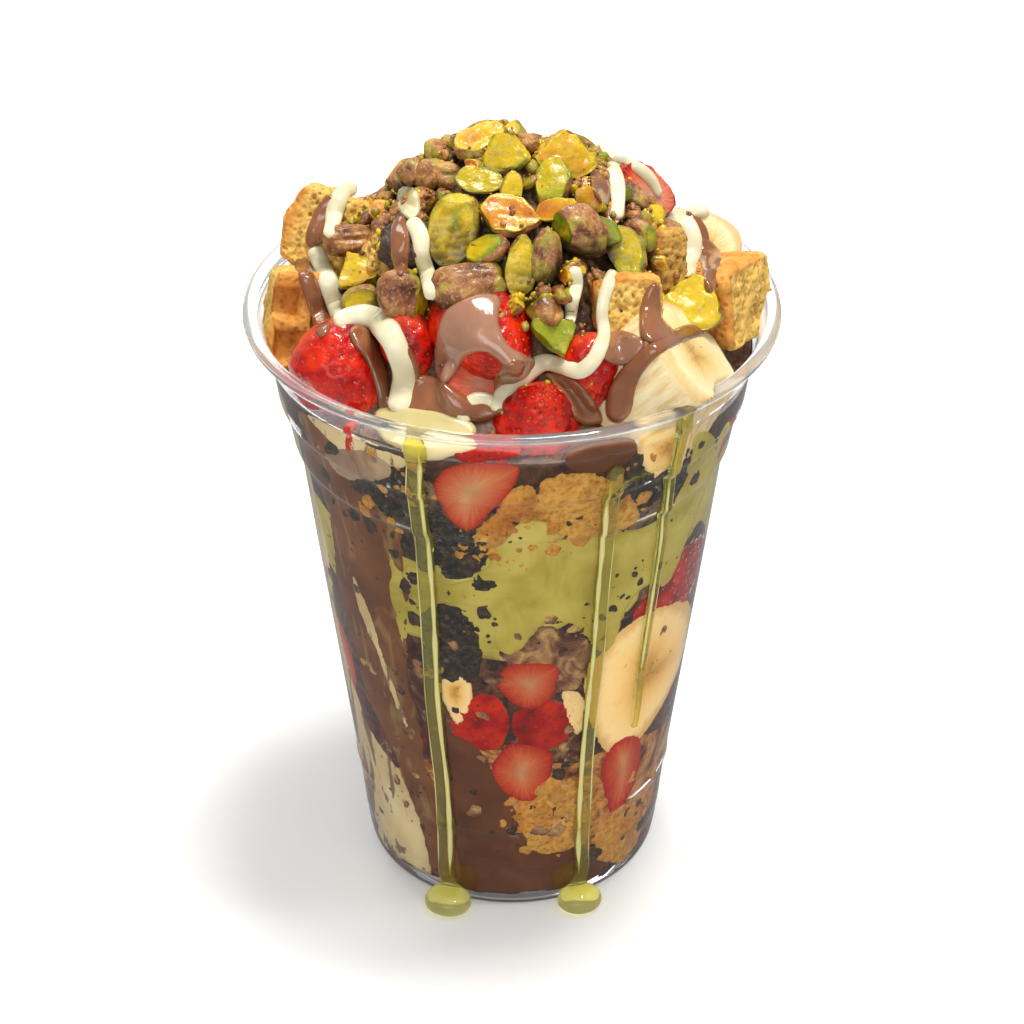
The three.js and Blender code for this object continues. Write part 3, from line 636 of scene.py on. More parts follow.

    # a pale beige-grey haze laid on the wall: painted light standing in for the haze seen through the plastic where the
    # fill stands back
    g = Graph("painted_wall_haze")
    here = g.where()
    a, b = g.noise(here, 120.0, 3.0, 0.6, 0.5), g.noise(here, 420.0, 3.0, 0.6)
    colour = g.ramp(a, [(0.34, lin(132, 104, 88)), (0.5, lin(164, 140, 118)), (0.68, lin(192, 174, 144))])
    colour = g.mix(g.math("MULTIPLY", g.band(b, 0.42, 0.32), 0.5), colour, lin(96, 78, 74))
    g.set(Base_Color=colour, Roughness=0.35)
    g.bump(b, 0.2, 0.0003)
    m["haze"] = g.material

    # pistachio kernels: mask x is cut flesh, y is hue from green to orange, z turns the skin from tan to purple
    g = Graph("pistachio_kernel")
    loc, mask, here = g.attr("loc"), g.attr("mask"), g.where()
    cut, hue, plum = g.split(mask)
    a, b = g.noise(here, 260.0, 3.0), g.noise(here, 1400.0, 3.0, 0.6)
    wide = g.noise(here, 170.0, 2.0)
    hue = g.math("ADD", hue, g.math("MULTIPLY", g.math("SUBTRACT", wide, 0.5), 0.6))
    hue = g.math("ADD", hue, g.math("MULTIPLY", g.math("SUBTRACT", cut, 0.85), 0.8))
    flesh = g.ramp(
        hue,
        [
            (0.0, lin(112, 134, 6)),
            (0.22, lin(150, 150, 6)),
            (0.45, lin(204, 170, 4)),
            (0.65, lin(216, 184, 34)),
            (0.82, lin(208, 138, 14)),
            (1.0, lin(184, 96, 6)),
        ],
    )
    flesh = g.mix(g.math("MULTIPLY", g.band(a, 0.56, 0.72), 0.4), flesh, lin(226, 200, 48))
    flesh = g.mix(g.math("MULTIPLY", g.band(b, 0.46, 0.3), 0.3), flesh, lin(104, 88, 8))
    tan = g.ramp(a, [(0.3, lin(88, 50, 18)), (0.48, lin(154, 98, 44)), (0.66, lin(206, 154, 82))])
    purple = g.ramp(a, [(0.3, lin(64, 22, 24)), (0.48, lin(118, 64, 46)), (0.66, lin(180, 122, 76))])
    skin = g.mix(plum, tan, purple)
    skin = g.mix(g.math("MULTIPLY", g.band(b, 0.52, 0.7), 0.55), skin, lin(214, 168, 102))
    skin = g.mix(g.math("MULTIPLY", g.band(wide, 0.52, 0.6), 0.8), skin, lin(166, 150, 46))
    worn = g.math("ADD", g.math("MULTIPLY", g.math("SUBTRACT", a, 0.5), 1.5), g.math("MULTIPLY", g.math("SUBTRACT", b, 0.5), 0.7))
    edge = g.band(g.math("ADD", cut, g.math("MULTIPLY", worn, 0.6)), 0.28, 0.40)
    colour = g.mix(edge, skin, flesh)
    # painted shade: the deeper a point lies between the nuts (loc z), the darker it is painted
    colour = g.mix(g.math("MULTIPLY", g.split(loc)[2], 0.9), colour, lin(34, 20, 10))
    g.set(Base_Color=colour, Roughness=g.math("SUBTRACT", 0.46, g.math("MULTIPLY", edge, 0.16)), Specular_IOR_Level=0.45, Coat_Weight=0.18)
    g.main.inputs["Coat Roughness"].default_value = 0.1
    grain = g.math("ADD", b, g.math("MULTIPLY", a, 2.0))
    g.bump(g.math("MULTIPLY", grain, g.math("SUBTRACT", 1.0, g.math("MULTIPLY", edge, 0.6))), 0.7, 0.0004)
    m["pistachio"] = g.material
    return m


MAT = make_materials()

# ------------------------------------------------------------------ the cup's form
OUTER = np.array(
    [
        [0.0, 27.25], [0.5, 27.9], [1.8, 28.4], [5.0, 28.95], [7.1, 29.1], [7.7, 29.3], [10.0, 29.55], [15.0, 30.05],
        [19.8, 30.62], [20.4, 30.95], [21.0, 30.82], [25.0, 31.3], [40.0, 33.2], [55.0, 35.1], [70.0, 37.0], [85.0, 38.8],
        [91.6, 39.6], [92.3, 39.9], [92.9, 40.5], [93.6, 40.72], [101.0, 42.05], [101.6, 42.3], [102.2, 42.95],
        [102.9, 43.18], [110.4, 44.3], [111.2, 44.5], [111.8, 45.05], [112.4, 45.25], [116.6, 46.1],
    ]
)
WALL, FLOOR = 0.8, 2.5


def outer(z):
    return np.interp(z, OUTER[:, 0], OUTER[:, 1])


def inner(z):
    return outer(z) - WALL


def on_wall(angle, z, off=0.0):
    """Points at an angle and height, off mm outside the inner wall."""
    a = np.radians(angle)
    r = inner(z) + off
    return np.stack([r * np.sin(a), -r * np.cos(a), np.broadcast_to(z, np.shape(r)) + 0.0 * r], -1)


def wall_at(px, off=0.0):
    """(angle, z) on the front of the inner wall behind each pixel, or off mm outside it."""
    d = rays(px)
    out = []
    for ray in d:
        t = np.linspace(380, 640, 1041)
        p = EYE + t[:, None] * ray
        gap = np.hypot(p[:, 0], p[:, 1]) - inner(p[:, 2]) - off
        hit = np.where((gap[1:] <= 0) & (gap[:-1] > 0) & (p[1:, 2] < 118))[0]
        if len(hit):
            i = hit[0]
            k = gap[i] / (gap[i] - gap[i + 1])
            q = p[i] + k * (p[i + 1] - p[i])
        else:
            i = int(np.argmin(np.abs(gap)))
            q = p[i]
        out.append((math.degrees(math.atan2(q[0], -q[1])), q[2]))
    return np.array(out)


def make_cup():
    prof = []
    zs = np.concatenate([OUTER[:, 0], np.arange(2, 117, 4.0)])
    zs = np.unique(zs)
    inner_z = zs[zs > 6.0]
    prof += [(0.0, 1.6), (12.0, 1.6), (22.6, 1.6), (23.4, 1.2), (24.2, 0.25), (25.0, 0.0), (26.6, 0.0)]
    prof += [(outer(z), z) for z in zs]
    prof += [
        (46.5, 117.05), (47.4, 117.15), (48.3, 117.35), (48.85, 117.8), (49.0, 118.35), (48.9, 118.9), (48.5, 119.3),
        (47.9, 119.45), (47.3, 119.4), (46.8, 119.1), (46.4, 118.6), (46.05, 118.0), (45.7, 117.3),
    ]
    prof += [(inner(z), z) for z in inner_z[::-1] if z < 116.6]
    prof += [(inner(5.0) - 0.05, 5.0), (inner(4.0) - 0.3, 4.0), (inner(3.2) - 0.9, 3.2), (inner(2.6) - 2.0, FLOOR + 0.05), (20.0, FLOOR), (0.0, FLOOR)]
    prof = np.array(prof)
    n = 224
    a = np.arange(n) / n * 2 * math.pi
    body = prof[1:-1]
    v = np.concatenate([np.stack([r * np.sin(a), -r * np.cos(a), np.full(n, z)], -1) for r, z in body])
    k = len(body)
    i = np.arange(k * n).reshape(k, n)
    j = np.roll(i, -1, 1)
    q = np.stack([i[:-1], j[:-1], j[1:], i[1:]], -1).reshape(-1, 4)
    v = np.concatenate([v, [[0, 0, prof[0, 1]], [0, 0, prof[-1, 1]]]])
    lo, hi = len(v) - 2, len(v) - 1
    t = np.concatenate(
        [np.stack([np.full(n, lo), j[0], i[0]], -1), np.stack([np.full(n, hi), i[-1], j[-1]], -1)]
    )
    made = Mesh(v, t, q)
    made.qm = np.repeat((body[:-1, 1] > 116.4).astype(int), n)
    return made


# ------------------------------------------------------------------ shells over an outline
def closed_curve(poly, per=6):
    """A smooth loop through the points."""
    p = np.asarray(poly, float)
    a, b, c, d = np.roll(p, 1, 0), p, np.roll(p, -1, 0), np.roll(p, -2, 0)
    out = []
    for t in np.arange(per) / per:
        out.append(0.5 * (2 * b + (c - a) * t + (2 * a - 5 * b + 4 * c - d) * t**2 + (3 * b - a - 3 * c + d) * t**3))
    return np.stack(out, 1).reshape(-1, 2)


def open_curve(pts, step):
    """A smooth path through the points with a vertex each step."""
    p = np.asarray(pts, float)
    p = np.concatenate([[2 * p[0] - p[1]], p, [2 * p[-1] - p[-2]]])
    out = []
    for a, b, c, d in zip(p[:-3], p[1:-2], p[2:-1], p[3:]):
        for t in np.arange(16) / 16:
            out.append(0.5 * (2 * b + (c - a) * t + (2 * a - 5 * b + 4 * c - d) * t**2 + (3 * b - a - 3 * c + d) * t**3))
    out.append(p[-2])
    out = np.array(out)
    s = np.concatenate([[0], np.cumsum(np.linalg.norm(np.diff(out, axis=0), axis=1))])
    n = max(4, int(s[-1] / step))
    at = np.linspace(0, s[-1], n + 1)
    return np.stack([np.interp(at, s, out[:, k]) for k in range(out.shape[1])], -1)


def outline_distance(pts, poly):
    """How far inside the outline each point is, negative outside."""
    out = np.empty(len(pts))
    a, b = poly, np.roll(poly, -1, 0)
    ab = b - a
    length = np.maximum((ab**2).sum(1), 1e-9)
    for s in range(0, len(pts), 4000):
        p = pts[s : s + 4000]
        ap = p[:, None, :] - a[None]
        t = np.clip((ap * ab).sum(2) / length, 0, 1)
        d = np.sqrt(((ap - t[..., None] * ab) ** 2).sum(2)).min(1)
        up = (a[None, :, 1] > p[:, 1:2]) != (b[None, :, 1] > p[:, 1:2])
        dy = np.where(np.abs(b[:, 1] - a[:, 1]) < 1e-9, 1e-9, b[:, 1] - a[:, 1])
        at = a[:, 0] + (p[:, 1:2] - a[:, 1]) * (b[:, 0] - a[:, 0]) / dy
        inside = (up & (p[:, 0:1] < at)).sum(1) % 2 == 1
        out[s : s + 4000] = np.where(inside, d, -d)
    return out


def patch(poly, step, edge=None):
    """A grid inside an outline whose rim follows it: points, distance inside, quads, whether on the rim."""
    dist = (lambda p: outline_distance(p, poly) + edge(p)) if edge else (lambda p: outline_distance(p, poly))
    lo, hi = poly.min(0) - 2 * step, poly.max(0) + 2 * step
    nx, ny = (int(math.ceil((hi[k] - lo[k]) / step)) + 1 for k in (0, 1))
    gx, gy = np.meshgrid(lo[0] + np.arange(nx) * step, lo[1] + np.arange(ny) * step)
    p = np.stack([gx.ravel(), gy.ravel()], -1)
    d = dist(p)
    keep = d > 0.12 * step
    g = keep.reshape(ny, nx)
    cell = g[:-1, :-1] | g[1:, :-1] | g[:-1, 1:] | g[1:, 1:]
    i = np.arange(nx * ny).reshape(ny, nx)
    q = np.stack([i[:-1, :-1], i[:-1, 1:], i[1:, 1:], i[1:, :-1]], -1)[cell]
    used = np.unique(q)
    index = np.full(nx * ny, -1)
    index[used] = np.arange(len(used))
    q, p, rim = index[q], p[used], ~keep[used]
    m = p[rim].copy()
    start = m.copy()
    h = 0.05 * step
    for _ in range(4):
        e = dist(m)
        grad = np.stack([dist(m + (h, 0)) - dist(m - (h, 0)), dist(m + (0, h)) - dist(m - (0, h))], -1) / (2 * h)
        size = np.maximum((grad**2).sum(1), 0.2)
        m = m - (e / size)[:, None] * grad
        shift = m - start
        far = np.maximum(np.linalg.norm(shift, axis=1), 1e-9)
        m = start + shift * np.minimum(1, 1.6 * step / far)[:, None]
    p[rim] = m
    d = dist(p)
    d[rim] = 0
    return p, np.maximum(d, 0), q, rim


def shell(p, d, q, rim, front, back):
    """A closed skin from a patch: front and back are positions for its points, and meet at the rim."""
    n = len(p)
    other = np.where(rim, np.arange(n), 0)
    inside = np.where(~rim)[0]
    other[inside] = n + np.arange(len(inside))
    v = np.concatenate([front, back[inside]])
    quads = np.concatenate([q, other[q][:, ::-1]])
    return v, quads, inside


def quarter(d, w):
    t = 1 - np.clip(d / w, 0, 1)
    return np.sqrt(np.maximum(0, 1 - t * t))


def wall_piece(outline, eps, thick=1.4, edge_w=None, body=6.0, body_w=6.0, step=0.6, rough=0.0, rough_scale=0.5,
               relief=None, seed=0, smooth=True, roll=0.0, tone=0.0, kind=None, px=False, press=0.22):
    """A piece pressed against the inside of the wall. outline is (angle, z) points, or pixels."""
    pts = wall_at(outline) if px else np.asarray(outline, float)
    mid = pts.mean(0)
    k = float(inner(mid[1])) * math.pi / 180
    flat = np.stack([(pts[:, 0]) * k, pts[:, 1]], -1)
    if smooth:
        flat = closed_curve(flat)
    edge = None
    if rough:
        edge = lambda p: rough * fbm(np.stack([p[:, 0] * rough_scale, p[:, 1] * rough_scale, np.full(len(p), seed * 3.7)], -1), 4, seed, 0.6)
    p, d, q, rim = patch(flat, step, edge)
    s = quarter(d, edge_w or thick)
    dent = np.zeros(len(p)) if relief is None else relief(p, d)
    dent = dent * smoothstep(0, 0.6, d)
    angle, z = p[:, 0] / k, p[:, 1]
    front = on_wall(angle, z, eps * s - thick * (1 - s) - press * dent)
    back = on_wall(angle, z, -thick - body * quarter(d, body_w) - 0.05)
    v, quads, inside = shell(p, d, q, rim, front, back)
    c, w = np.array([flat[:, 0].mean(), flat[:, 1].mean()]), np.abs(flat - flat.mean(0)).max(0)
    rr = math.radians(roll)
    rot = np.array([[math.cos(rr), math.sin(rr)], [-math.sin(rr), math.cos(rr)]])
    rel = (p - c) @ rot.T
    size = np.abs(rel).max(0)
    loc = np.column_stack([rel / np.maximum(size, 1e-6), np.zeros(len(p))])
    mask = np.zeros((len(p), 3))
    mask[:, 1] = tone
    # mask z, the dent depth, is painted darker as shade where the waffle look is used
    mask[:, 2] = np.clip(dent, 0, 1)
    if kind is not None:
        mask[:, 0] = kind(p, d) if callable(kind) else kind
    return Mesh(v, None, quads, np.concatenate([loc, loc[inside]]), np.concatenate([mask, mask[inside]]))


# ------------------------------------------------------------------ food shapes about their own centre
def dimples(points, seeds, depth, width):
    d = np.full(len(points), 99.0)
    for s in range(0, len(seeds), 64):
        near = np.sqrt(((points[:, None] - seeds[None, s : s + 64]) ** 2).sum(2)).min(1)
        d = np.minimum(d, near)
    return -depth * np.exp(-((d / width) ** 2)), d


def tiny(length, width, thick, level=2):
    v, t = ball(level)
    return v * (length / 2, width / 2, thick / 2), t


def strawberry(length, width, cut=1.0, seed=1, rows=64, around=84, cut2=None, tone=0.0, pale=0.0):
    rng = np.random.default_rng(1000 + seed)
    u = 0.5 - 0.5 * np.cos(np.pi * (np.arange(rows + 1) / rows))
    phi = np.arange(around) / around * 2 * np.pi
    lump = rng.uniform(-1, 1, 6)

    def surface(u, phi):
        r = width / 2 * np.power(np.maximum(np.sin(np.pi * np.power(u, 0.6)), 0), 0.78)
        r = r * (1 + 0.035 * lump[0] * np.sin(2 * phi + lump[1] * 3) + 0.03 * lump[2] * np.sin(3 * phi + u * 4))
        return np.stack([(u - 0.5) * length, r * np.cos(phi), r * np.sin(phi) * 0.93], -1)

    uu, pp = np.meshgrid(u[1:-1], phi, indexing="ij")
    v = surface(uu.ravel(), pp.ravel())
    tips = surface(np.array([0.0, 1.0]), np.array([0.0, 0.0]))
    n = rows - 1
    i = np.arange(n * around).reshape(n, around)
    j = np.roll(i, -1, 1)
    q = np.stack([i[:-1], j[:-1], j[1:], i[1:]], -1).reshape(-1, 4)
    v = np.concatenate([v, tips])
    a, b = len(v) - 2, len(v) - 1
    t = np.concatenate([np.stack([np.full(around, a), j[0], i[0]], -1), np.stack([np.full(around, b), i[-1], j[-1]], -1)])
    body = Mesh(v, t, q)
    nrm = normals(body)
    if ((nrm * v).sum(1)).mean() < 0:
        body.t, body.q, nrm = body.t[:, ::-1], body.q[:, ::-1], -nrm
    count = int(length * width * math.pi * 0.86 / 6.2)
    k = np.arange(count) + 0.5
    su = 0.05 + 0.93 * k / count
    su = np.clip(su + 0.35 / math.sqrt(count) * rng.uniform(-0.5, 0.5, count) * 0.5, 0.02, 0.985)
    sp = k * 2.39996 + rng.uniform(-0.12, 0.12, count)
    spots = surface(su, sp)
    down, near = dimples(v, spots, 0.42, 0.75)
    ridge = 0.08 * smoothstep(0.7, 1.6, near)
    fine = 0.10 * vnoise(v * 1.3, seed)
    body.v = v + nrm * (down + ridge + fine)[:, None]
    flag = np.zeros(len(v))
    face = cut * width / 2
    if cut < 1:
        flag = (body.v[:, 2] > face - 0.02).astype(float)
        wav = 0.16 * vnoise(np.column_stack([body.v[:, 0] * 0.35, body.v[:, 1] * 0.35, np.full(len(v), seed)]), seed + 5)
        body.v[:, 2] = np.where(flag > 0, face + wav, body.v[:, 2])
    if cut2 is not None:
        axis, at = np.asarray(cut2[0], float), cut2[1]
        axis /= np.linalg.norm(axis)
        over = body.v @ axis - at
        flag = np.maximum(flag, (over > 0).astype(float))
        body.v -= np.maximum(over, 0)[:, None] * axis
    body.loc = body.v / (length / 2, width / 2, width / 2)
    body.mask[:, 0] = flag
    body.mask[:, 1] = tone
    body.mask[:, 2] = pale
    # seeds on the skin that is left
    at = surface(su, sp)
    step = surface(np.clip(su + 0.01, 0, 1), sp) - at
    turn = surface(su, sp + 0.02) - at
    nn = np.cross(turn, step)
    nn /= np.maximum(np.linalg.norm(nn, axis=1), 1e-9)[:, None]
    nn *= np.sign((nn * at).sum(1))[:, None]
    xx = step / np.maximum(np.linalg.norm(step, axis=1), 1e-9)[:, None]
    yy = np.cross(nn, xx)
    sv, st = tiny(0.80, 0.46, 0.40, 1)
    seeds = []
    for c, x, y, z in zip(at - nn * 0.38, xx, yy, nn):
        if cut < 1 and c[2] > face - 0.5:
            continue
        if cut2 is not None and c @ axis > cut2[1] - 0.4:
            continue
        seeds.append(Mesh(sv @ np.stack([x, y, z]) + c, st, tm=1))
    return join([body, *seeds]) if seeds else body


def waffle(w, h, thick, seed=1, pockets=(), cell=0.5, tone=0.0, square=7.0, porous=1.0, crusts=((0, 0, 1), (0, 0, -1))):
    nx, ny, nz = (max(8, int(s / cell)) for s in (w, h, thick))
    p, q = block(nx, ny, nz)
    ang = np.arctan2(p[:, 1], p[:, 0])
    c, s = np.cos(ang), np.sin(ang)
    base = np.maximum(np.abs(p[:, 0]), np.abs(p[:, 1]))  # 1 on the sides, less on the faces
    kk = np.power(np.abs(c) ** square + np.abs(s) ** square, -1 / square)
    rim = 1 + 0.10 * vnoise(np.stack([c * 1.8 + seed * 5, s * 1.8, p[:, 2] * 0.4], -1), seed)
    xy = np.stack([c, s], -1) * (kk * rim * base)[:, None]
    v = np.column_stack([xy * (w / 2, h / 2), p[:, 2] * thick / 2])
    side = smoothstep(0.86, 1.0, base) * (1 - smoothstep(0.9, 1.0, np.abs(p[:, 2])))
    onface = smoothstep(0.93, 1.0, np.abs(p[:, 2]))
    # round the long edges
    round_ = 0.5 * np.minimum(thick, 3) * smoothstep(0.8, 1, base) * smoothstep(0.8, 1, np.abs(p[:, 2]))
    v[:, :2] *= (1 - 0.5 * round_ / np.maximum(np.linalg.norm(v[:, :2], axis=1), 1))[:, None]
    m = Mesh(v, None, q)
    n = normals(m)
    pore = worley(v * (0.9, 0.74, 0.82), seed)
    where_ = smoothstep(-0.35, 0.25, fbm(v * 0.3, 2, seed + 12))
    pits = porous * (1.0 * where_ * smoothstep(0.46, 0.14, pore) + 0.5 * smoothstep(0.42, 0.10, worley(v * 1.6, seed + 9)))
    rugged = 0.75 * fbm(v * 0.42, 3, seed + 3) + 0.3 * fbm(v * 1.3, 2, seed + 13)
    crust = np.zeros(len(v))
    for way in crusts:
        way = np.asarray(way, float)
        far = (np.abs(way) * (w / 2, h / 2, thick / 2)).sum()
        crust = np.maximum(crust, smoothstep(far - 1.9, far - 0.7, v @ way + 0.6 * fbm(v * 0.6, 2, seed + 4)))
    deep = pits * (1 - 0.88 * crust)
    push = -deep + rugged * (1 - 0.5 * crust)
    for x, y, size, down in pockets:
        box = np.maximum(np.abs(v[:, 0] - x), np.abs(v[:, 1] - y)) + 0.25 * vnoise(v * 0.5, seed + 6)
        hole = smoothstep(size / 2 + 0.55, size / 2 - 0.45, box) * (v[:, 2] > 0) * smoothstep(0.5, 0.8, p[:, 2])
        v[:, 2] -= down * hole
    m.v = v + n * push[:, None]
    m.loc = v / (w / 2, h / 2, thick / 2)
    # mask z, the pit depth, is painted darker as shade in the waffle look
    m.mask = np.column_stack([crust, np.full(len(v), tone), np.clip(deep, 0, 1)])
    return m


def banana(radius, thick, seed=1, tone=0.0, rings=16, around=72, side=10):
    h = thick / 2
    rr, zz, kind = [], [], []
    for k in range(1, rings + 1):
        rr.append(k / rings), zz.append(-1.0), kind.append(1.0)
    for k in range(1, side):
        t = k / side
        rr.append(1 + 0.05 * math.sin(math.pi * t)), zz.append(-1 + 2 * t), kind.append(0.0)
    for k in range(rings, 0, -1):
        rr.append(k / rings), zz.append(1.0), kind.append(1.0)
    a = np.arange(around) / around * 2 * np.pi
    k5 = 1 + 0.035 * np.cos(5 * a + seed) + 0.03 * np.cos(2 * a + 2 * seed)
    v = np.concatenate([np.stack([r * radius * k5 * np.cos(a), r * radius * k5 * np.sin(a), np.full(around, z * h)], -1) for r, z in zip(rr, zz)])
    flag = np.repeat(kind, around)
    n = len(rr)
    i = np.arange(n * around).reshape(n, around)
    j = np.roll(i, -1, 1)
    q = np.stack([i[:-1], j[:-1], j[1:], i[1:]], -1).reshape(-1, 4)
    v = np.concatenate([v, [[0, 0, -h], [0, 0, h]]])
    flag = np.concatenate([flag, [1, 1]])
    lo, hi = len(v) - 2, len(v) - 1
    t = np.concatenate([np.stack([np.full(around, lo), j[0], i[0]], -1), np.stack([np.full(around, hi), i[-1], j[-1]], -1)])
    m = Mesh(v, t, q)
    loc = v / (radius, radius, h)
    edge = smoothstep(0.86, 1.0, np.hypot(loc[:, 0], loc[:, 1]))
    v[:, 2] *= 1 - 0.10 * edge * flag
    rad_noise = fbm(v * 0.3, 3, seed)
    v[:, 2] += flag * np.sign(v[:, 2]) * (0.35 * rad_noise - 0.5 * np.exp(-((np.hypot(loc[:, 0], loc[:, 1]) / 0.22) ** 2)))
    v[:, :2] *= (1 + (1 - flag) * 0.02 * fbm(v * (0.9, 0.9, 0.2), 3, seed + 1))[:, None]
    m.v, m.loc = v, loc
    if (normals(m)[hi][2]) < 0:
        m.t, m.q = m.t[:, ::-1], m.q[:, ::-1]
    m.mask = np.column_stack([flag, np.full(len(v), tone), np.zeros(len(v))])
    return m


def lump(x, y, z, rough=0.12, seed=1, level=5, pits=0.6, tone=0.0, scale=1.0):
    b, t = ball(level)
    box = np.power((np.abs(b) ** 3).sum(1), -1 / 3)[:, None] * 0.55 + 0.45
    v = b * box * (x / 2, y / 2, z / 2)
    n = b
    push = rough * min(x, y, z) * fbm(b * 1.7 + seed * 7.1, 3, seed) * 1.2
    pit = pits * smoothstep(0.5, 0.15, worley(v * 0.75 * scale, seed + 2))
    fine = 0.16 * fbm(v * 1.6 * scale, 2, seed + 8)
    v = v + n * (push - pit + fine)[:, None]
    return Mesh(v, t, loc=b, mask=np.column_stack([np.zeros(len(v)), np.full(len(v), tone), np.clip(pit, 0, 1)]))


def kernel(length, width, thick, seed=1, cuts=(), hue=0.5, plum=0.3, level=4, wrinkle=1.0):
    """A pistachio kernel, its length along X: whole, or with the flat faces that cuts give, each (normal, distance)."""
    b, t = ball(level)
    x = b[:, 0]
    blocky = 0.62 + 0.38 * np.power((np.abs(b) ** 4).sum(1), -0.25)
    taper = (1 - 0.16 * x - 0.10 * x * x) * blocky
    v = np.column_stack([x * length / 2, b[:, 1] * taper * width / 2, b[:, 2] * taper * thick / 2 * np.where(b[:, 2] < 0, 0.85, 1.0)])
    v[:, 2] += 0.05 * length * (x * x - 0.3)
    groove = np.exp(-((b[:, 1] / 0.16) ** 2)) * (b[:, 2] > 0) * (1 - x * x)
    long_noise = fbm(np.column_stack([x * 1.2 + seed * 3.3, b[:, 1] * 4.2, b[:, 2] * 4.2]), 3, seed)
    n = b
    uneven = fbm(b * 1.3 + seed * 1.9, 2, seed + 60)
    v = v + n * (wrinkle * (-0.35 * groove + 0.30 * long_noise + 0.62 * uneven) * min(width, thick) / 5)[:, None]
    flag = np.zeros(len(v))
    for k, (axis, at) in enumerate(cuts):
        axis = np.asarray(axis, float)
        axis = axis / np.linalg.norm(axis)
        reach = at * (np.abs(axis) * (length / 2, width / 2, thick / 2)).sum() / math.sqrt(max((axis**2 > 0.04).sum(), 1))
        over = v @ axis - reach
        chip = (0.22 * vnoise(v * 0.55, seed + 3 + k) + 0.05 * vnoise(v * 2.1, seed + 4 + k)) * min(width, thick) / 5
        hit = over > 0
        v = v - np.where(hit, over * 0.92 - 1.3 * chip * smoothstep(0, 0.5, over), 0)[:, None] * axis
        flag = np.where(hit, np.maximum(flag, 0.5 + 0.5 * np.clip(over / (0.16 * min(width, thick)), 0, 1)), flag)
    mask = np.column_stack([flag, np.full(len(v), hue), np.full(len(v), plum)])
    return Mesh(v, t, loc=np.zeros((len(v), 3)), mask=mask)


def chip(size, seed, hue, plum, flesh=0.8, level=3, long=1.25):
    """A chopped bit of nut with several broken faces."""
    rng = np.random.default_rng(seed * 13 + 7)
    cuts = []
    for _ in range(5):
        a = rng.normal(size=3)
        cuts.append((a, rng.uniform(0.45, 0.8)))
    m = kernel(size * long, size * rng.uniform(0.75, 1.0), size * rng.uniform(0.6, 0.9), seed, cuts, hue, plum, level, 0.8)
    if flesh < 1:
        m.mask[:, 0] = np.where(rng.random() < flesh, m.mask[:, 0], 0)
    return m


# ------------------------------------------------------------------ rays onto what is already there
class Ground:
    def __init__(self):
        self.parts = []
        self.tree = None

    def add(self, mesh):
        self.parts.append(mesh)
        self.tree = None

    def build(self):
        if self.tree is None:
            m = join(self.parts)
            self.tree = BVHTree.FromPolygons(m.v.tolist(), m.tris().tolist(), all_triangles=True)
        return self.tree

    def depth(self, px, far=720.0):
        tree = self.build()
        o = Vector(EYE)
        out = np.full(len(px), np.nan)
        for k, d in enumerate(rays(px)):
            hit = tree.ray_cast(o, Vector(d))
            if hit[0] is not None and hit[3] < far:
                out[k] = hit[3]
        return out

    def down(self, x, y, top=175.0):
        tree = self.build()
        hit = tree.ray_cast(Vector((x, y, top)), Vector((0, 0, -1)))
        return (None, None) if hit[0] is None else (np.array(hit[0]), np.array(hit[1]))


TOP = Ground()


def sauce_patch(outline, thick=1.15, edge_px=7.0, step=2.0, smooth=10, tone=0.0, sag=0.7, limit=5.0, seed=0, back=1.4, wob=0.0):
    """A puddle or coat of sauce on what the viewer sees behind the outline in pixels."""
    poly = closed_curve(outline, 5)
    edge = None
    if wob:
        edge = lambda p: wob * fbm(np.column_stack([p / 22.0, np.full(len(p), seed)]), 2, seed)
    p, d, q, rim = patch(poly, step, edge)
    t = TOP.depth(p)
    good = ~np.isnan(t)
    if good.sum() < 4:
        return None
    t = np.where(good, t, np.nanmedian(t))
    pairs = np.unique(np.sort(np.concatenate([q[:, [0, 1]], q[:, [1, 2]], q[:, [2, 3]], q[:, [3, 0]]]), 1), axis=0)
    deg = np.zeros(len(p))
    np.add.at(deg, pairs[:, 0], 1), np.add.at(deg, pairs[:, 1], 1)

    def average(f):
        s = np.zeros(len(p))
        np.add.at(s, pairs[:, 0], f[pairs[:, 1]])
        np.add.at(s, pairs[:, 1], f[pairs[:, 0]])
        return s / np.maximum(deg, 1)

    own = t.copy()
    f = t.copy()
    for _ in range(smooth):
        f = 0.4 * f + 0.6 * average(f)
        f = np.minimum(f, own + limit * 0.15)
        f = np.where(f < own, f * sag + np.minimum(f, own) * (1 - sag), f)
    for _ in range(3):
        f = 0.5 * f + 0.5 * average(f)
    f = np.minimum(f, own + 0.2)
    for _ in range(2):
        f = 0.5 * f + 0.5 * average(f)
    dirs = rays(p)
    s = quarter(d, edge_px)
    swell = 1 + 0.16 * fbm(np.column_stack([p / 30.0, np.full(len(p), seed + 4)]), 2, seed)
    front = EYE + dirs * (f - thick * s * swell)[:, None]
    rear = EYE + dirs * (f + 0.25 + back * s)[:, None]
    v, quads, inside = shell(p, d, q, rim, front, rear)
    mask = np.zeros((len(v), 3))
    mask[:, 1] = tone
    return Mesh(v, None, quads[:, ::-1], mask=mask)


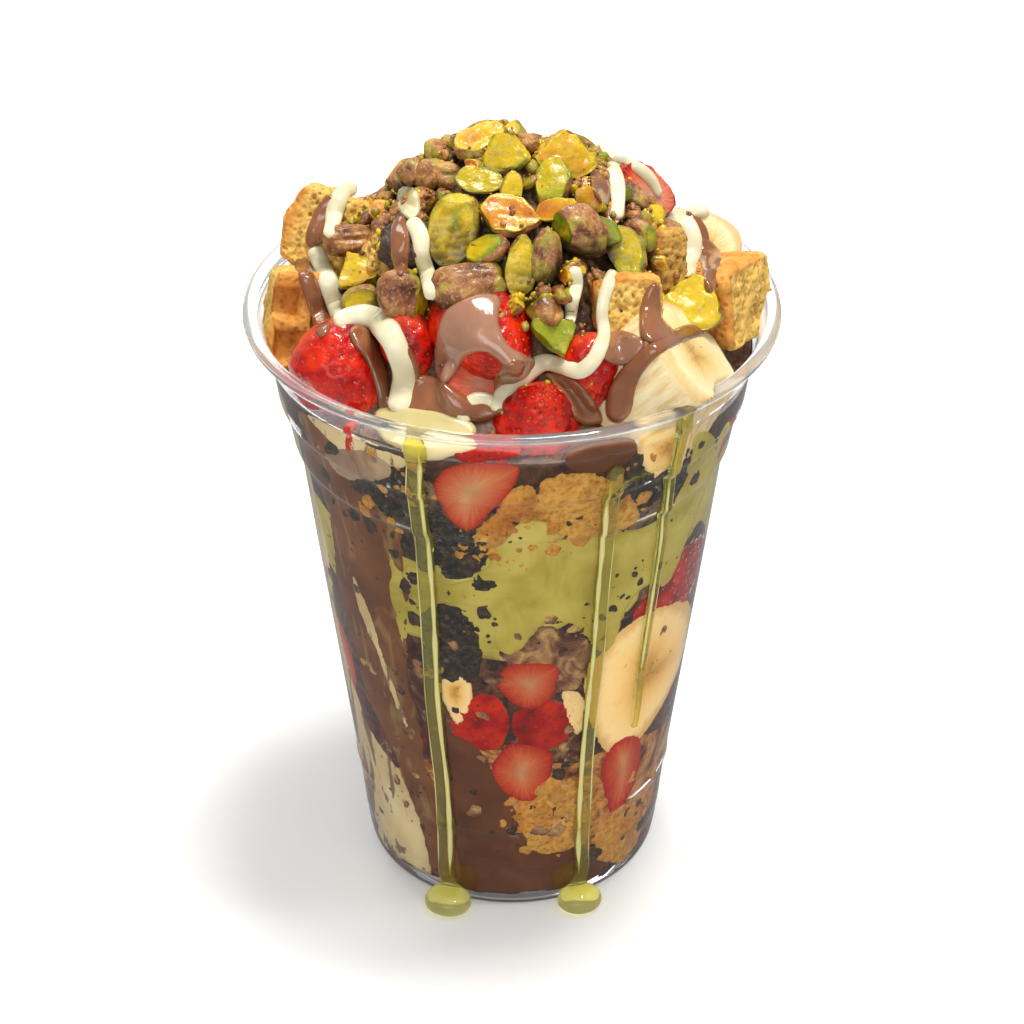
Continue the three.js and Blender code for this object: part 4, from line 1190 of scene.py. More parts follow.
def tube(points, radius, around=14, flat=0.85, normal=None):
    """A closed run along points with a radius at each, its flat side along normal."""
    p = np.asarray(points, float)
    tan = np.gradient(p, axis=0)
    tan /= np.maximum(np.linalg.norm(tan, axis=1), 1e-9)[:, None]
    up = np.broadcast_to(np.asarray(normal, float), p.shape)
    side = np.cross(tan, up)
    side /= np.maximum(np.linalg.norm(side, axis=1), 1e-9)[:, None]
    nrm = np.cross(side, tan)
    a = np.arange(around) / around * 2 * np.pi
    v = p[:, None] + radius[:, None, None] * (
        np.cos(a)[None, :, None] * side[:, None] + flat * np.sin(a)[None, :, None] * nrm[:, None]
    )
    n = len(p)
    i = np.arange(n * around).reshape(n, around)
    j = np.roll(i, -1, 1)
    q = np.stack([i[:-1], j[:-1], j[1:], i[1:]], -1).reshape(-1, 4)
    v = np.concatenate([v.reshape(-1, 3), [p[0], p[-1]]])
    a0, a1 = len(v) - 2, len(v) - 1
    t = np.concatenate([np.stack([np.full(around, a0), j[0], i[0]], -1), np.stack([np.full(around, a1), i[-1], j[-1]], -1)])
    m = Mesh(v, t, q)
    c = m.v[q[:, 0]] - p[np.clip(q[:, 0] // around, 0, n - 1)]
    face = np.cross(m.v[q[:, 1]] - m.v[q[:, 0]], m.v[q[:, 3]] - m.v[q[:, 0]])
    if (face * c).sum() < 0:
        m.t, m.q = m.t[:, ::-1], m.q[:, ::-1]
    return m


def drizzle(path, width_px, seed=0, rise=0.35, smooth=5, tone=0.0, taper=(1, 1), limit=4.0, around=14):
    """A thin run of cream along pixels, laid on what is behind it."""
    pts = open_curve(path, 2.2)
    own = TOP.depth(pts)
    bad = np.isnan(own)
    if bad.all():
        return None
    idx = np.arange(len(pts))
    own[bad] = np.interp(idx[bad], idx[~bad], own[~bad])
    f = own.copy()
    kernel_ = np.array([1, 2, 3, 2, 1]) / 9.0
    for _ in range(smooth):
        g = np.convolve(np.pad(f, 2, mode="edge"), kernel_, mode="valid")
        f = np.minimum(g, own + 0.4)
    for _ in range(2):
        f = np.convolve(np.pad(f, 2, mode="edge"), kernel_, mode="valid")
    w = np.interp(np.linspace(0, 1, len(pts)), np.linspace(0, 1, len(np.atleast_1d(width_px))), np.atleast_1d(width_px))
    r = 1.22 * w / 2 * f / FOCAL
    r *= 1 + 0.10 * vnoise(np.column_stack([idx * 0.11, np.full(len(idx), seed), np.zeros(len(idx))]), seed)
    s = np.minimum(idx, idx[::-1]) * 2.2 / (w * 0.5)
    start, end = idx * 2.2 / (w * 0.5), idx[::-1] * 2.2 / (w * 0.5)
    cap = np.ones(len(idx))
    if taper[0]:
        cap *= np.maximum(quarter(start, 1.0), 0.12)
    if taper[1]:
        cap *= np.maximum(quarter(end, 1.0), 0.12)
    centre = EYE + rays(pts) * (f - rise * r)[:, None]
    m = tube(centre, r * cap, around, 0.52, -FWD)
    m.mask[:, 1] = tone
    return m


# ------------------------------------------------------------------ the fill behind the wall
def bump_at(a, centre, width, height):
    d = (a - centre + 180) % 360 - 180
    return height * np.exp(-((d / width) ** 2))


def sin_deg(a):
    return np.sin(np.radians(a))


LAYER_TOPS = [
    ("chocolate_base", lambda a: 12 + bump_at(a, -13, 17, 27) + bump_at(a, 150, 30, 10)),
    ("waffle_bed", lambda a: 32 + 4 * sin_deg(2 * a + 40) + bump_at(a, -13, 20, 10)),
    ("fruit_bed", lambda a: 70 + 4 * sin_deg(3 * a) - bump_at(a, -2, 14, 6) - bump_at(a, 28, 9, 6) + bump_at(a, 65, 16, 12)),
    ("pistachio_cream_layer", lambda a: 86 + bump_at(a, 8, 22, 11) + bump_at(a, 68, 24, 11) - bump_at(a, -16, 14, 4) + bump_at(a, 200, 50, 6)),
    ("biscuit_crumb_layer", lambda a: 103 + 2 * sin_deg(2 * a + 70) + bump_at(a, -35, 20, 3)),
]


def ring_outline(angle, z, w, h, seed=0, n=9, spin=0.0, square=0.0):
    """An uneven outline about a point on the wall, in (angle, z)."""
    rng = np.random.default_rng(50 + seed)
    t = np.arange(n) / n * 2 * np.pi + rng.uniform(-0.15, 0.15, n)
    r = 1 + rng.uniform(-0.13, 0.13, n) + square * np.abs(np.sin(2 * t))
    x, y = r * np.cos(t) * w / 2, r * np.sin(t) * h / 2
    s = math.radians(spin)
    x, y = x * math.cos(s) - y * math.sin(s), x * math.sin(s) + y * math.cos(s)
    k = float(inner(z)) * math.pi / 180
    return np.column_stack([angle + x / k, z + y])


WALL_FOOD = [
    ("strawberry_wall_top", "strawberry", [(-19, 104), (-16, 109.5), (-8, 112.5), (1, 112), (2, 108), (-4, 100), (-11, 94.5), (-17, 98)], 0.30, dict(pale=0.62)),
    ("waffle_wall_middle", "waffle", [(-10, 90), (-9, 96), (-5, 100), (0, 106), (5, 107), (9, 101), (10, 93), (3, 88)], 0.22, {}),
    ("waffle_wall_right", "waffle", [(6, 106), (11, 109), (21, 107.5), (30, 101), (35, 93), (27, 91), (15, 92), (8, 98)], 0.26, {}),
    ("biscuit_wall_left", "biscuit", [(-53, 98), (-46, 103), (-35, 106), (-24, 107), (-26, 99), (-33, 93), (-41, 89), (-56, 90)], 0.16, {}),
    ("biscuit_wall_middle", "biscuit", [(-24, 96), (-17, 99), (-11, 95), (-5, 89), (-11, 83), (-20, 83)], 0.18, {}),
    ("biscuit_wall_low", "biscuit", [(-27, 73), (-18, 77), (-10, 72), (-8, 65), (-10, 59), (-19, 55), (-27, 62)], 0.18, dict(tone=0.15)),
    ("brownie_wall_middle", "brownie", [(-5, 66), (1, 71), (8, 73), (16, 70), (24, 67), (22, 58), (14, 55), (7, 58), (0, 62)], 0.20, {}),
    ("strawberry_wall_centre", "strawberry", [(-6, 58.5), (-1, 63.5), (8, 64), (15, 62), (14, 55), (8, 51.5), (1, 52.5)], 0.30, dict(pale=0.25)),
    ("banana_wall_round", "banana", [(22, 55), (24, 62), (32, 67), (46, 69), (62, 65), (76, 57), (78, 47), (64, 40), (52, 36), (42, 33.5), (34, 36), (27, 42)], 0.26, {}),
    ("banana_wall_behind", "banana", [(14, 55), (20, 55.5), (24, 52), (24, 45), (20, 44)], 0.20, dict(slot_face=0.0)),
    ("banana_wall_small", "banana", [(-24, 56), (-17, 59.5), (-11.5, 58), (-13, 51), (-18, 46)], 0.22, {}),
    ("strawberry_wall_left_centre", "skin", [(-21, 47), (-17, 52), (-10, 56), (-3, 55), (0, 49), (-2, 43), (-8, 40.5), (-18, 42)], 0.22, {}),
    ("strawberry_wall_right_centre", "skin", [(-1, 50), (5, 54), (14, 54), (20, 49), (19, 43), (10, 40), (2, 42)], 0.20, dict(tone=0.35)),
    ("strawberry_wall_far_right", "skin", [(36, 69), (45, 75), (58, 79), (73, 76), (76, 68), (64, 62), (50, 62)], 0.16, dict(tone=0.4)),
    ("strawberry_wall_far_left", "strawberry", [(-83, 54), (-74, 60), (-64, 56), (-60, 47), (-67, 40), (-79, 41)], 0.20, dict(pale=0.5, tone=0.2)),
    ("strawberry_wall_front_low", "strawberry", [(-8, 36.5), (-2, 43), (6, 43.5), (14, 40), (13, 32), (7, 27.5), (0, 28.5), (-6, 32)], 0.32, dict(pale=0.2)),
    ("strawberry_wall_right_low", "strawberry", [(31, 33), (35, 38.5), (43, 39), (51, 35), (52, 26), (47, 20), (38, 19), (34, 25)], 0.28, {}),
    ("waffle_wall_low", "waffle", [(0, 26), (5, 30), (14, 32), (24, 30), (29, 24), (30, 15), (18, 12.5), (6, 15)], 0.22, {}),
    ("waffle_wall_low_right", "waffle", [(32, 18.5), (44, 20), (58, 16), (62, 6), (52, 2.8), (38, 5), (33, 11)], 0.24, dict(tone=0.15)),
    ("strawberry_wall_back", "strawberry", ring_outline(158, 98, 20, 14, 3), 0.28, {}),
    ("banana_wall_back", "banana", ring_outline(196, 56, 27, 25, 4), 0.26, {}),
    ("waffle_wall_back", "waffle", ring_outline(226, 98, 20, 16, 5, square=0.2), 0.24, {}),
]

# the same foods go on round the cup
MORE = [
    ("strawberry", -118, 62, 18, 14, 0.26, {}), ("skin", -100, 46, 17, 15, 0.22, {}), ("banana", -140, 70, 24, 22, 0.24, {}),
    ("waffle", -105, 90, 18, 14, 0.22, {}), ("biscuit", -128, 98, 20, 13, 0.2, {}), ("waffle", -122, 24, 19, 15, 0.22, {}),
    ("strawberry", -150, 38, 16, 14, 0.28, {}), ("skin", -168, 22, 16, 13, 0.22, {}), ("brownie", -163, 84, 18, 14, 0.2, {}),
    ("biscuit", 172, 76, 17, 14, 0.18, {}), ("waffle", 160, 22, 20, 14, 0.24, {}), ("strawberry", 150, 66, 16, 17, 0.28, {}),
    ("skin", 137, 46, 18, 15, 0.22, {}), ("banana", 113, 74, 22, 20, 0.24, {}), ("waffle", 128, 98, 19, 14, 0.22, {}),
    ("biscuit", 98, 96, 18, 12, 0.18, {}), ("strawberry", 104, 38, 17, 14, 0.28, {}), ("waffle", 92, 18, 18, 14, 0.22, {}),
    ("brownie", 88, 56, 15, 14, 0.2, {}), ("skin", 183, 100, 15, 12, 0.2, {}), ("waffle", -80, 20, 14, 12, 0.2, {}),
    ("biscuit", -146, 16, 14, 11, 0.18, {}), ("strawberry", 64, 100, 13, 10, 0.2, dict(tone=0.3)), ("biscuit", 44, 101, 14, 9, 0.2, {}),
]
PRESSED = [np.array(o[2], float) for o in WALL_FOOD]
PRESSED += [ring_outline(a, z, w, h, 70 + k, spin=(k * 47) % 120 - 60) for k, (kind, a, z, w, h, eps, extra) in enumerate(MORE)]


def set_back(a, z):
    """How far the fill stays behind the wall, where a piece covers it."""
    back = np.zeros(len(a))
    for outline in PRESSED:
        mid = outline.mean(0)
        k = float(inner(mid[1])) * math.pi / 180
        aa = (a - mid[0] + 180) % 360 - 180 + mid[0]
        near = (np.abs(aa - mid[0]) * k < 22) & (np.abs(z - mid[1]) < 22)
        if not near.any():
            continue
        flat = closed_curve(np.column_stack([outline[:, 0] * k, outline[:, 1]]))
        d = outline_distance(np.column_stack([aa[near] * k, z[near]]), flat)
        back[near] = np.maximum(back[near], 1.0 * smoothstep(0.8, 2.0, d))
    return back


def layer_mesh(index, around=270, step=1.0, off=0.05):
    """One layer: its side against the wall, and plain faces inside."""
    name, top = LAYER_TOPS[index]
    a = np.arange(around) / around * 360.0
    wob = lambda k: 2.2 * fbm(np.column_stack([np.cos(np.radians(a)) * 4.0, np.sin(np.radians(a)) * 4.0, np.full(around, k * 3.1)]), 3, k, 0.6)
    zt = top(a) + wob(index)
    zb = np.full(around, FLOOR + 0.02) if index == 0 else LAYER_TOPS[index - 1][1](a) + wob(index - 1) - 0.02
    rows = max(6, int((zt - zb).mean() / step))
    v, n = [], 0
    for k in range(rows + 1):
        z = zb + (zt - zb) * k / rows
        if index == 0:
            low = np.interp(z, [2.5, 2.7, 3.3, 4.0, 5.0], [2.2, 1.6, 0.75, 0.25, 0.0])
        else:
            low = 0.0
        p = on_wall(a, z, off - low - set_back(a, z))
        v.append(p)
    n = rows + 1
    i = np.arange(n * around).reshape(n, around)
    j = np.roll(i, -1, 1)
    q = np.stack([i[:-1], j[:-1], j[1:], i[1:]], -1).reshape(-1, 4)
    v = np.concatenate([*v, [[0, 0, zb.mean()], [0, 0, zt.mean()]]])
    lo, hi = len(v) - 2, len(v) - 1
    t = np.concatenate([np.stack([np.full(around, lo), j[0], i[0]], -1), np.stack([np.full(around, hi), i[-1], j[-1]], -1)])
    return Mesh(v, t, q)


def layer_relief(m, depth, scale, seed, inside=0.0):
    """Hollows in the part of a layer that touches the wall."""
    r = np.hypot(m.v[:, 0], m.v[:, 1])
    touch = r > 20
    hollow = depth * smoothstep(0.0, 0.55, fbm(m.v * scale, 3, seed)) + inside
    hollow = np.where(touch, hollow, 0)
    m.v[:, 0] *= 1 - hollow / np.maximum(r, 1)
    m.v[:, 1] *= 1 - hollow / np.maximum(r, 1)
    m.mask[:, 2] = np.clip(hollow, 0, 1)
    return m


LAYER_LOOK = {
    "chocolate_base": ("chocolate", "chocolate_sauce"),
    "waffle_bed": ("waffle_fill", "waffle"),
    "fruit_bed": ("fruit_fill", "chocolate_sauce"),
    "pistachio_cream_layer": ("pistachio_cream", "pistachio_cream"),
    "biscuit_crumb_layer": ("biscuit_fill", "dark_biscuit"),
}
def round_loc(p, d, spin=0.0):
    """loc for a face whose middle is the deepest point and whose rim is at one."""
    top = max(d.max(), 1e-6)
    c = (p * (d > 0.7 * top)[:, None]).sum(0) / max((d > 0.7 * top).sum(), 1)
    rel = p - c
    ang = np.arctan2(rel[:, 1], rel[:, 0])
    return ang, 1 - d / top


def pressed(outline, kind, seed=1, eps=0.2, px=False, tone=0.0, slot_face=1.0, pale=0.0, **kw):
    """A wall piece of one kind of food."""
    opts = dict(step=0.5, seed=seed, eps=eps, px=px, tone=tone)
    if kind == "waffle":
        opts.update(thick=1.4, edge_w=0.7, rough=1.3, rough_scale=0.45, step=0.46)
        opts["relief"] = lambda p, d: 0.7 * smoothstep(0.4, 0.12, worley(np.column_stack([p * 0.8, np.full(len(p), seed * 1.7)]), seed)) + 1.3 * np.maximum(
            fbm(np.column_stack([p * 0.3, np.full(len(p), seed * 2.3)]), 4, seed + 2, 0.6), 0)
    elif kind == "biscuit":
        opts.update(thick=1.4, edge_w=0.7, rough=1.2, rough_scale=0.5, step=0.46)
        opts["relief"] = lambda p, d: 0.9 * smoothstep(0.5, 0.15, worley(np.column_stack([p * 0.55, np.full(len(p), seed * 1.7)]), seed)) + 0.8 * np.maximum(
            fbm(np.column_stack([p * 0.4, np.full(len(p), seed * 2.3)]), 3, seed + 2), 0)
    elif kind == "strawberry":
        opts.update(thick=2.0, edge_w=0.9, rough=0.5, rough_scale=0.35)
    elif kind == "skin":
        opts.update(thick=1.6, edge_w=0.9, rough=0.5, rough_scale=0.4, step=0.46)
    elif kind == "banana":
        opts.update(thick=1.2, edge_w=0.8, rough=0.9, rough_scale=0.3)
        opts["relief"] = lambda p, d: 0.25 * np.maximum(fbm(np.column_stack([p * 0.3, np.full(len(p), seed)]), 3, seed), 0)
    elif kind == "brownie":
        opts.update(thick=1.4, edge_w=0.7, rough=1.0, rough_scale=0.4, step=0.46)
        opts["relief"] = lambda p, d: 0.9 * np.maximum(fbm(np.column_stack([p * 0.3, np.full(len(p), seed * 2.3)]), 3, seed + 2), 0)
    elif kind == "sauce":
        opts.update(thick=0.9, edge_w=1.1, body=2.0, body_w=3.0, rough=0.8, rough_scale=0.3)
    opts.update(kw)
    m = wall_piece(outline, **opts)
    m.mask[:, 0] = slot_face if kind in ("strawberry", "banana") else 0.0
    if kind in ("strawberry", "skin"):
        m.mask[:, 2] = pale
    if kind in ("strawberry", "banana"):
        # polar loc from the outline itself
        pts = wall_at(outline) if px else np.asarray(outline, float)
        k = float(inner(pts.mean(0)[1])) * math.pi / 180
        flat = closed_curve(np.stack([pts[:, 0] * k, pts[:, 1]], -1))
        a = np.degrees(np.arctan2(m.v[:, 0], -m.v[:, 1]))
        a = np.where(a - pts[:, 0].mean() > 180, a - 360, np.where(a - pts[:, 0].mean() < -180, a + 360, a))
        p = np.column_stack([a * k, m.v[:, 2]])
        d = np.maximum(outline_distance(p, flat), 0)
        ang, r = round_loc(p, d)
        m.loc = np.column_stack([r * np.cos(ang), r * np.sin(ang), np.zeros(len(r))])
    if kind == "waffle":
        m.mask[:, 0] = 0.75 * smoothstep(0.05, 0.5, fbm(m.v * 0.12, 2, seed + 5))
    if kind == "skin":
        m.loc = np.column_stack([np.full(len(m.v), -0.2), np.zeros(len(m.v)), np.zeros(len(m.v))])
        m.mask[:, 0] = 0
        m = with_wall_seeds(m, seed)
    return m


def with_wall_seeds(m, seed, spacing=1.9):
    """Seeds pressed into the outward face of a strawberry behind the wall."""
    rng = np.random.default_rng(400 + seed)
    n = normals(m)
    out = m.v * (1, 1, 0)
    out /= np.maximum(np.linalg.norm(out, axis=1), 1e-6)[:, None]
    cand = np.where((n * out).sum(1) > 0.55)[0]
    rng.shuffle(cand)
    chosen = []
    for c in cand:
        if all(np.linalg.norm(m.v[c] - m.v[o]) > spacing for o in chosen):
            chosen.append(c)
        if len(chosen) > 90:
            break
    if not chosen:
        return m
    spots = m.v[chosen]
    down, _ = dimples(m.v, spots, 0.32, 0.55)
    sv, st = tiny(0.72, 0.46, 0.4)
    parts = []
    for c in chosen:
        z = n[c]
        x = np.cross(z, (0.3, 0.1, 1.0) + rng.uniform(-0.3, 0.3, 3))
        x /= np.linalg.norm(x)
        y = np.cross(z, x)
        parts.append(Mesh(sv @ np.stack([y, x, z]) + m.v[c] - z * 0.22, st, tm=1))
    m.v = m.v + n * down[:, None]
    return join([m, *parts])


STRAW = [MAT["strawberry"], MAT["seed"]]
FOODS = {
    "strawberry": (STRAW, "strawberry"),
    "skin": (STRAW, "strawberry"),
    "waffle": (MAT["waffle"], "waffle"),
    "banana": (MAT["banana"], "banana"),
    "biscuit": (MAT["biscuit"], "dark_biscuit"),
    "brownie": (MAT["brownie"], "brownie"),
}


def behind_wall(material, tint):
    """The same look pressed to the plastic: no shine of its own, and its colour multiplied by a tint set for how it
    shows through the plastic, painted shade where the tint darkens and painted light where it lightens.
    """
    made = material.copy()
    made.name = material.name + "_at_wall"
    for node in made.node_tree.nodes:
        if node.type == "BSDF_PRINCIPLED":
            node.inputs["Coat Weight"].default_value = 0.0
            node.inputs["Specular IOR Level"].default_value = 0.12
            node.inputs["Roughness"].default_value = 0.6
            socket = node.inputs["Base Color"]
            if socket.is_linked:
                painted_tone = made.node_tree.nodes.new("ShaderNodeMix")
                painted_tone.data_type, painted_tone.blend_type = "RGBA", "MULTIPLY"
                painted_tone.inputs["Factor"].default_value = 1.0
                painted_tone.inputs[7].default_value = (*tint, 1.0)
                made.node_tree.links.new(socket.links[0].from_socket, painted_tone.inputs[6])
                made.node_tree.links.new(painted_tone.outputs[2], socket)
    return made


# tints for the copies behind the wall: painted shade below one, painted light above one
WALL_LIGHT_SHADE_TINTS = {
    "strawberry": (0.94, 1.0, 0.68), "seed": (0.85, 0.8, 0.5), "waffle": (0.95, 0.82, 0.62), "banana": (1.30, 1.21, 1.02), "biscuit": (0.86, 0.78, 0.62),
    "brownie": (1.45, 1.26, 0.78), "chocolate": (0.57, 0.52, 0.40), "cream": (1.06, 0.98, 0.80), "pistachio_cream": (1.18, 1.08, 0.80), "streak": (0.98, 0.74, 0.50),
    "cream_mix": (1.06, 0.94, 0.76), "haze": (1.06, 0.98, 0.84), "waffle_fill": (0.95, 0.80, 0.60), "biscuit_fill": (0.86, 0.78, 0.62), "fruit_fill": (0.96, 0.86, 0.62), "bed": (0.72, 0.66, 0.54),
}
AT_WALL = {key: behind_wall(MAT[key], tint) for key, tint in WALL_LIGHT_SHADE_TINTS.items()}
WALL_LOOKS = {kind: ([AT_WALL["strawberry"], AT_WALL["seed"]] if kind in ("strawberry", "skin") else AT_WALL[kind], slot_name) for kind, (look, slot_name) in FOODS.items()}


def wall_food(name, kind, outline, seed, node=None, **kw):
    look, slot_name = WALL_LOOKS[kind]
    return emit(name, pressed(outline, kind, seed, **kw), look, node or ())


for k, (name, _) in enumerate(LAYER_TOPS):
    look, slot_name = LAYER_LOOK[name]
    layer = layer_mesh(k)
    if name in ("waffle_bed", "biscuit_crumb_layer"):
        layer = layer_relief(layer, 0.04, 0.35, k)
    emit(name + "_fill", layer, AT_WALL[look], name)


for k, (name, kind, outline, eps, extra) in enumerate(WALL_FOOD):
    wall_food(name + "_seen", kind, outline, 20 + k, name, eps=eps, **extra)

for k, (kind, a, z, w, h, eps, extra) in enumerate(MORE):
    wall_food("%s_round_%d" % (kind, k), kind, PRESSED[len(WALL_FOOD) + k], 60 + k, eps=eps, step=0.6, **extra)

# ------------------------------------------------------------------ sauces against the wall
CHOC, CREAM, PCREAM = MAT["chocolate"], MAT["cream"], AT_WALL["pistachio_cream"]


def wall_sauce(name, material, slot_name, outline, eps, seed, node=(), **kw):
    return emit(name, pressed(outline, "sauce", seed, eps=eps, **kw), material, node)


wall_sauce("chocolate_streak_seen", AT_WALL["streak"], "chocolate_sauce",
           [(-62, 108), (-58, 96), (-60, 84), (-63, 70), (-60, 56), (-55, 43), (-44, 31), (-36, 16), (-34, 5), (-20, 4), (-22, 18), (-29, 33),
            (-31, 46), (-33, 58), (-31, 70), (-30, 80), (-31, 92), (-38, 98), (-48, 108)], 0.34, 3, "chocolate_streak_left", rough=1.2)
wall_sauce("cream_streak_seen", AT_WALL["cream_mix"], "pale_cream",
           [(-84, 96), (-76, 100), (-70, 88), (-66, 74), (-69, 60), (-66, 46), (-58, 36), (-46, 30), (-38, 18), (-36, 6), (-50, 3.6), (-66, 4), (-72, 20),
            (-74, 36), (-83, 56), (-86, 76)], 0.28, 4, "cream_streak_left", tone=0.5, rough=1.3)
wall_sauce("cream_low_left", AT_WALL["cream_mix"], "pale_cream",
           [(-44, 30), (-38, 22), (-34, 12), (-34, 4.4), (-50, 3.4), (-68, 4), (-62, 14), (-54, 24)], 0.40, 5, rough=1.2)
wall_sauce("chocolate_low_middle", AT_WALL["chocolate"], "chocolate_sauce",
           [(-27, 44), (-20, 45), (-12, 43), (-5, 36), (1, 28), (1, 20), (-4, 14), (-14, 12), (-24, 14), (-28, 28)], 0.30, 6, rough=0.9)
wall_sauce("chocolate_low_round", AT_WALL["chocolate"], "chocolate_sauce",
           [(-20, 14), (-8, 13), (6, 11.5), (20, 11), (34, 9), (46, 5), (44, 2.9), (10, 2.7), (-24, 2.8), (-26, 8)], 0.26, 7, rough=0.8)
wall_sauce("pistachio_cream_seen", PCREAM, "pistachio_cream",
           [(-30, 84), (-20, 82), (-13, 83), (-8, 86), (-4, 92), (2, 98), (8, 97.5), (16, 92.5), (33, 91), (46, 89), (54, 93), (60, 104), (66, 104), (66, 92),
            (58, 80), (50, 72), (42, 75), (36, 73), (33, 66), (28, 61), (24, 65), (18, 70), (11, 73), (6, 69), (0, 64.5), (-5, 67), (-6, 74), (-14, 77),
            (-22, 75), (-29, 74), (-32, 79)], 0.36, 8, rough=1.3, rough_scale=0.4)
wall_sauce("pistachio_cream_far_left", PCREAM, "pistachio_cream",
           [(-90, 104), (-76, 108), (-68, 103), (-70, 92), (-72, 78), (-78, 70), (-88, 72)], 0.22, 9, rough=1.2)
wall_sauce("chocolate_upper_round", AT_WALL["chocolate"], "chocolate_sauce",
           [(12, 113.5), (19, 115), (28, 113.5), (30, 110), (25, 107.6), (17, 107.8), (12, 110)], 0.42, 10, rough=0.4)
wall_sauce("chocolate_back_streak", AT_WALL["streak"], "chocolate_sauce",
           [(118, 108), (130, 104), (132, 90), (126, 76), (131, 60), (124, 50), (116, 58), (119, 74), (114, 90)], 0.34, 11, rough=1.2)
wall_sauce("cream_back_streak", AT_WALL["cream_mix"], "pale_cream",
           [(206, 108), (220, 110), (218, 90), (211, 78), (216, 60), (208, 46), (200, 42), (203, 60), (199, 78), (204, 92)], 0.34, 12, tone=0.5, rough=1.2)
wall_sauce("chocolate_back_low", AT_WALL["chocolate"], "chocolate_sauce",
           [(170, 46), (184, 40), (196, 34), (206, 20), (200, 8), (180, 6), (168, 16), (166, 32)], 0.30, 13, rough=1.2)

wall_sauce("beige_upper_left", AT_WALL["cream_mix"], "pale_cream",
           [(-56, 110), (-44, 112), (-32, 112), (-24, 110), (-27, 107), (-36, 107), (-46, 104), (-56, 102)], 0.24, 14, rough=1.0)
wall_sauce("cream_lines_left", AT_WALL["cream_mix"], "pale_cream",
           [(-52, 76), (-46, 70), (-42, 60), (-38, 50), (-35, 42), (-37, 41), (-42, 48), (-47, 58), (-53, 68)], 0.40, 15, rough=1.0, tone=0.5)
wall_sauce("pistachio_cream_strip_left", PCREAM, "pistachio_cream",
           [(-36, 86), (-32, 84), (-30, 76), (-32, 66), (-33, 60), (-36, 66), (-37, 76)], 0.42, 16, rough=1.0)

wall_sauce("cream_under_lip", AT_WALL["cream"], "pale_cream",
           [(382, 438), (400, 446), (406, 459), (428, 461), (450, 457), (470, 452), (478, 446), (460, 440), (430, 442), (404, 438)], 0.44, 17, px=True, rough=0.3)
emit("strawberry_strip_under_lip", pressed([(452, 449), (470, 446), (498, 448), (520, 450), (519, 457), (492, 462), (466, 462), (455, 457)], "skin", 18, eps=0.40, px=True), WALL_LOOKS["strawberry"][0])
emit("strawberry_run_under_lip", pressed([(344, 424), (352, 424), (357, 436), (355, 452), (350, 463), (346, 452), (345, 438)], "skin", 19, eps=0.40, px=True, rough=0.1), WALL_LOOKS["strawberry"][0])

emit("banana_under_lip_right", pressed([(641, 434), (662, 426), (684, 418), (691, 428), (686, 450), (675, 474), (656, 479), (641, 471), (634, 458)], "banana", 20, eps=0.46, px=True), WALL_LOOKS["banana"][0])
wall_sauce("pistachio_cream_right_upper", PCREAM, "pistachio_cream",
           [(692, 434), (704, 428), (713, 436), (709, 462), (700, 492), (690, 516), (674, 516), (671, 502), (681, 480), (687, 456)], 0.44, 21, px=True, rough=0.5)

wall_sauce("chocolate_band_upper_left", AT_WALL["streak"], "chocolate_sauce",
           [(-63, 102.5), (-55, 104.6), (-50, 104), (-46, 100.5), (-43.5, 96.4), (-41, 91), (-40, 84), (-48, 82), (-57, 86), (-66, 91), (-68, 97)], 0.46, 22, rough=0.8)
# painted haze on the wall, upper left under the lip
wall_sauce("haze_upper_left", AT_WALL["haze"], "pale_cream",
           [(-51, 103.2), (-43, 107.6), (-37, 108.8), (-32, 109), (-28.6, 107), (-31, 103.6), (-38, 100.8), (-45, 99), (-51.6, 99.6)], 0.50, 23, rough=1.1)

FRUIT_OUTLINES = [np.array(o[2], float) for o in WALL_FOOD if o[1] in ("strawberry", "skin", "banana")]
FRUIT_OUTLINES += [PRESSED[len(WALL_FOOD) + k] for k, o in enumerate(MORE) if o[0] in ("strawberry", "skin", "banana")]


def on_fruit(a, z):
    for outline in FRUIT_OUTLINES:
        aa = (a - outline[:, 0].mean() + 180) % 360 - 180 + outline[:, 0].mean()
        if outline_distance(np.array([[aa, z]]), outline)[0] > 0:
            return True
    return False


def wall_bits(name, kind, spans, seed):
    """Small crumbs pressed to the wall: spans are (angle from, to, z from, to, how many, size from, to)."""
    r = np.random.default_rng(900 + seed)
    out = []
    for a0, a1, z0, z1, count, s0, s1 in spans:
        for _ in range(count):
            a, z = r.uniform(a0, a1), r.uniform(z0, z1)
            if on_fruit(a, z) and r.random() < 0.93:
                continue
            size = s0 + (s1 - s0) * r.random() ** 1.8
            b, t = ball(3 if size > 2.2 else 2)
            v = b * (size / 2 * r.uniform(0.7, 1.2), size / 2 * r.uniform(0.6, 1.0), size / 2 * r.uniform(0.6, 1.0))
            v = v * (1 + 0.5 * fbm(b * 1.6 + r.uniform(0, 50), 3, seed))[:, None]
            v = v @ euler(*r.uniform(0, 360, 3)).T
            c = on_wall(np.array([a]), np.array([z]), -0.16 * size)[0]
            v = v + c
            rr = np.hypot(v[:, 0], v[:, 1])
            stop = inner(v[:, 2]) + r.uniform(0.42, 0.56)
            k = np.minimum(1, stop / rr)
            v[:, 0] *= k
            v[:, 1] *= k
            out.append(Mesh(v, t, loc=b, mask=np.tile((r.random() * 0.6 if kind == "waffle" else 0.0, r.random() * 0.4, 0.0), (len(v), 1))))
    look, slot_name = WALL_LOOKS[kind]
    return emit(name, join(out), look)


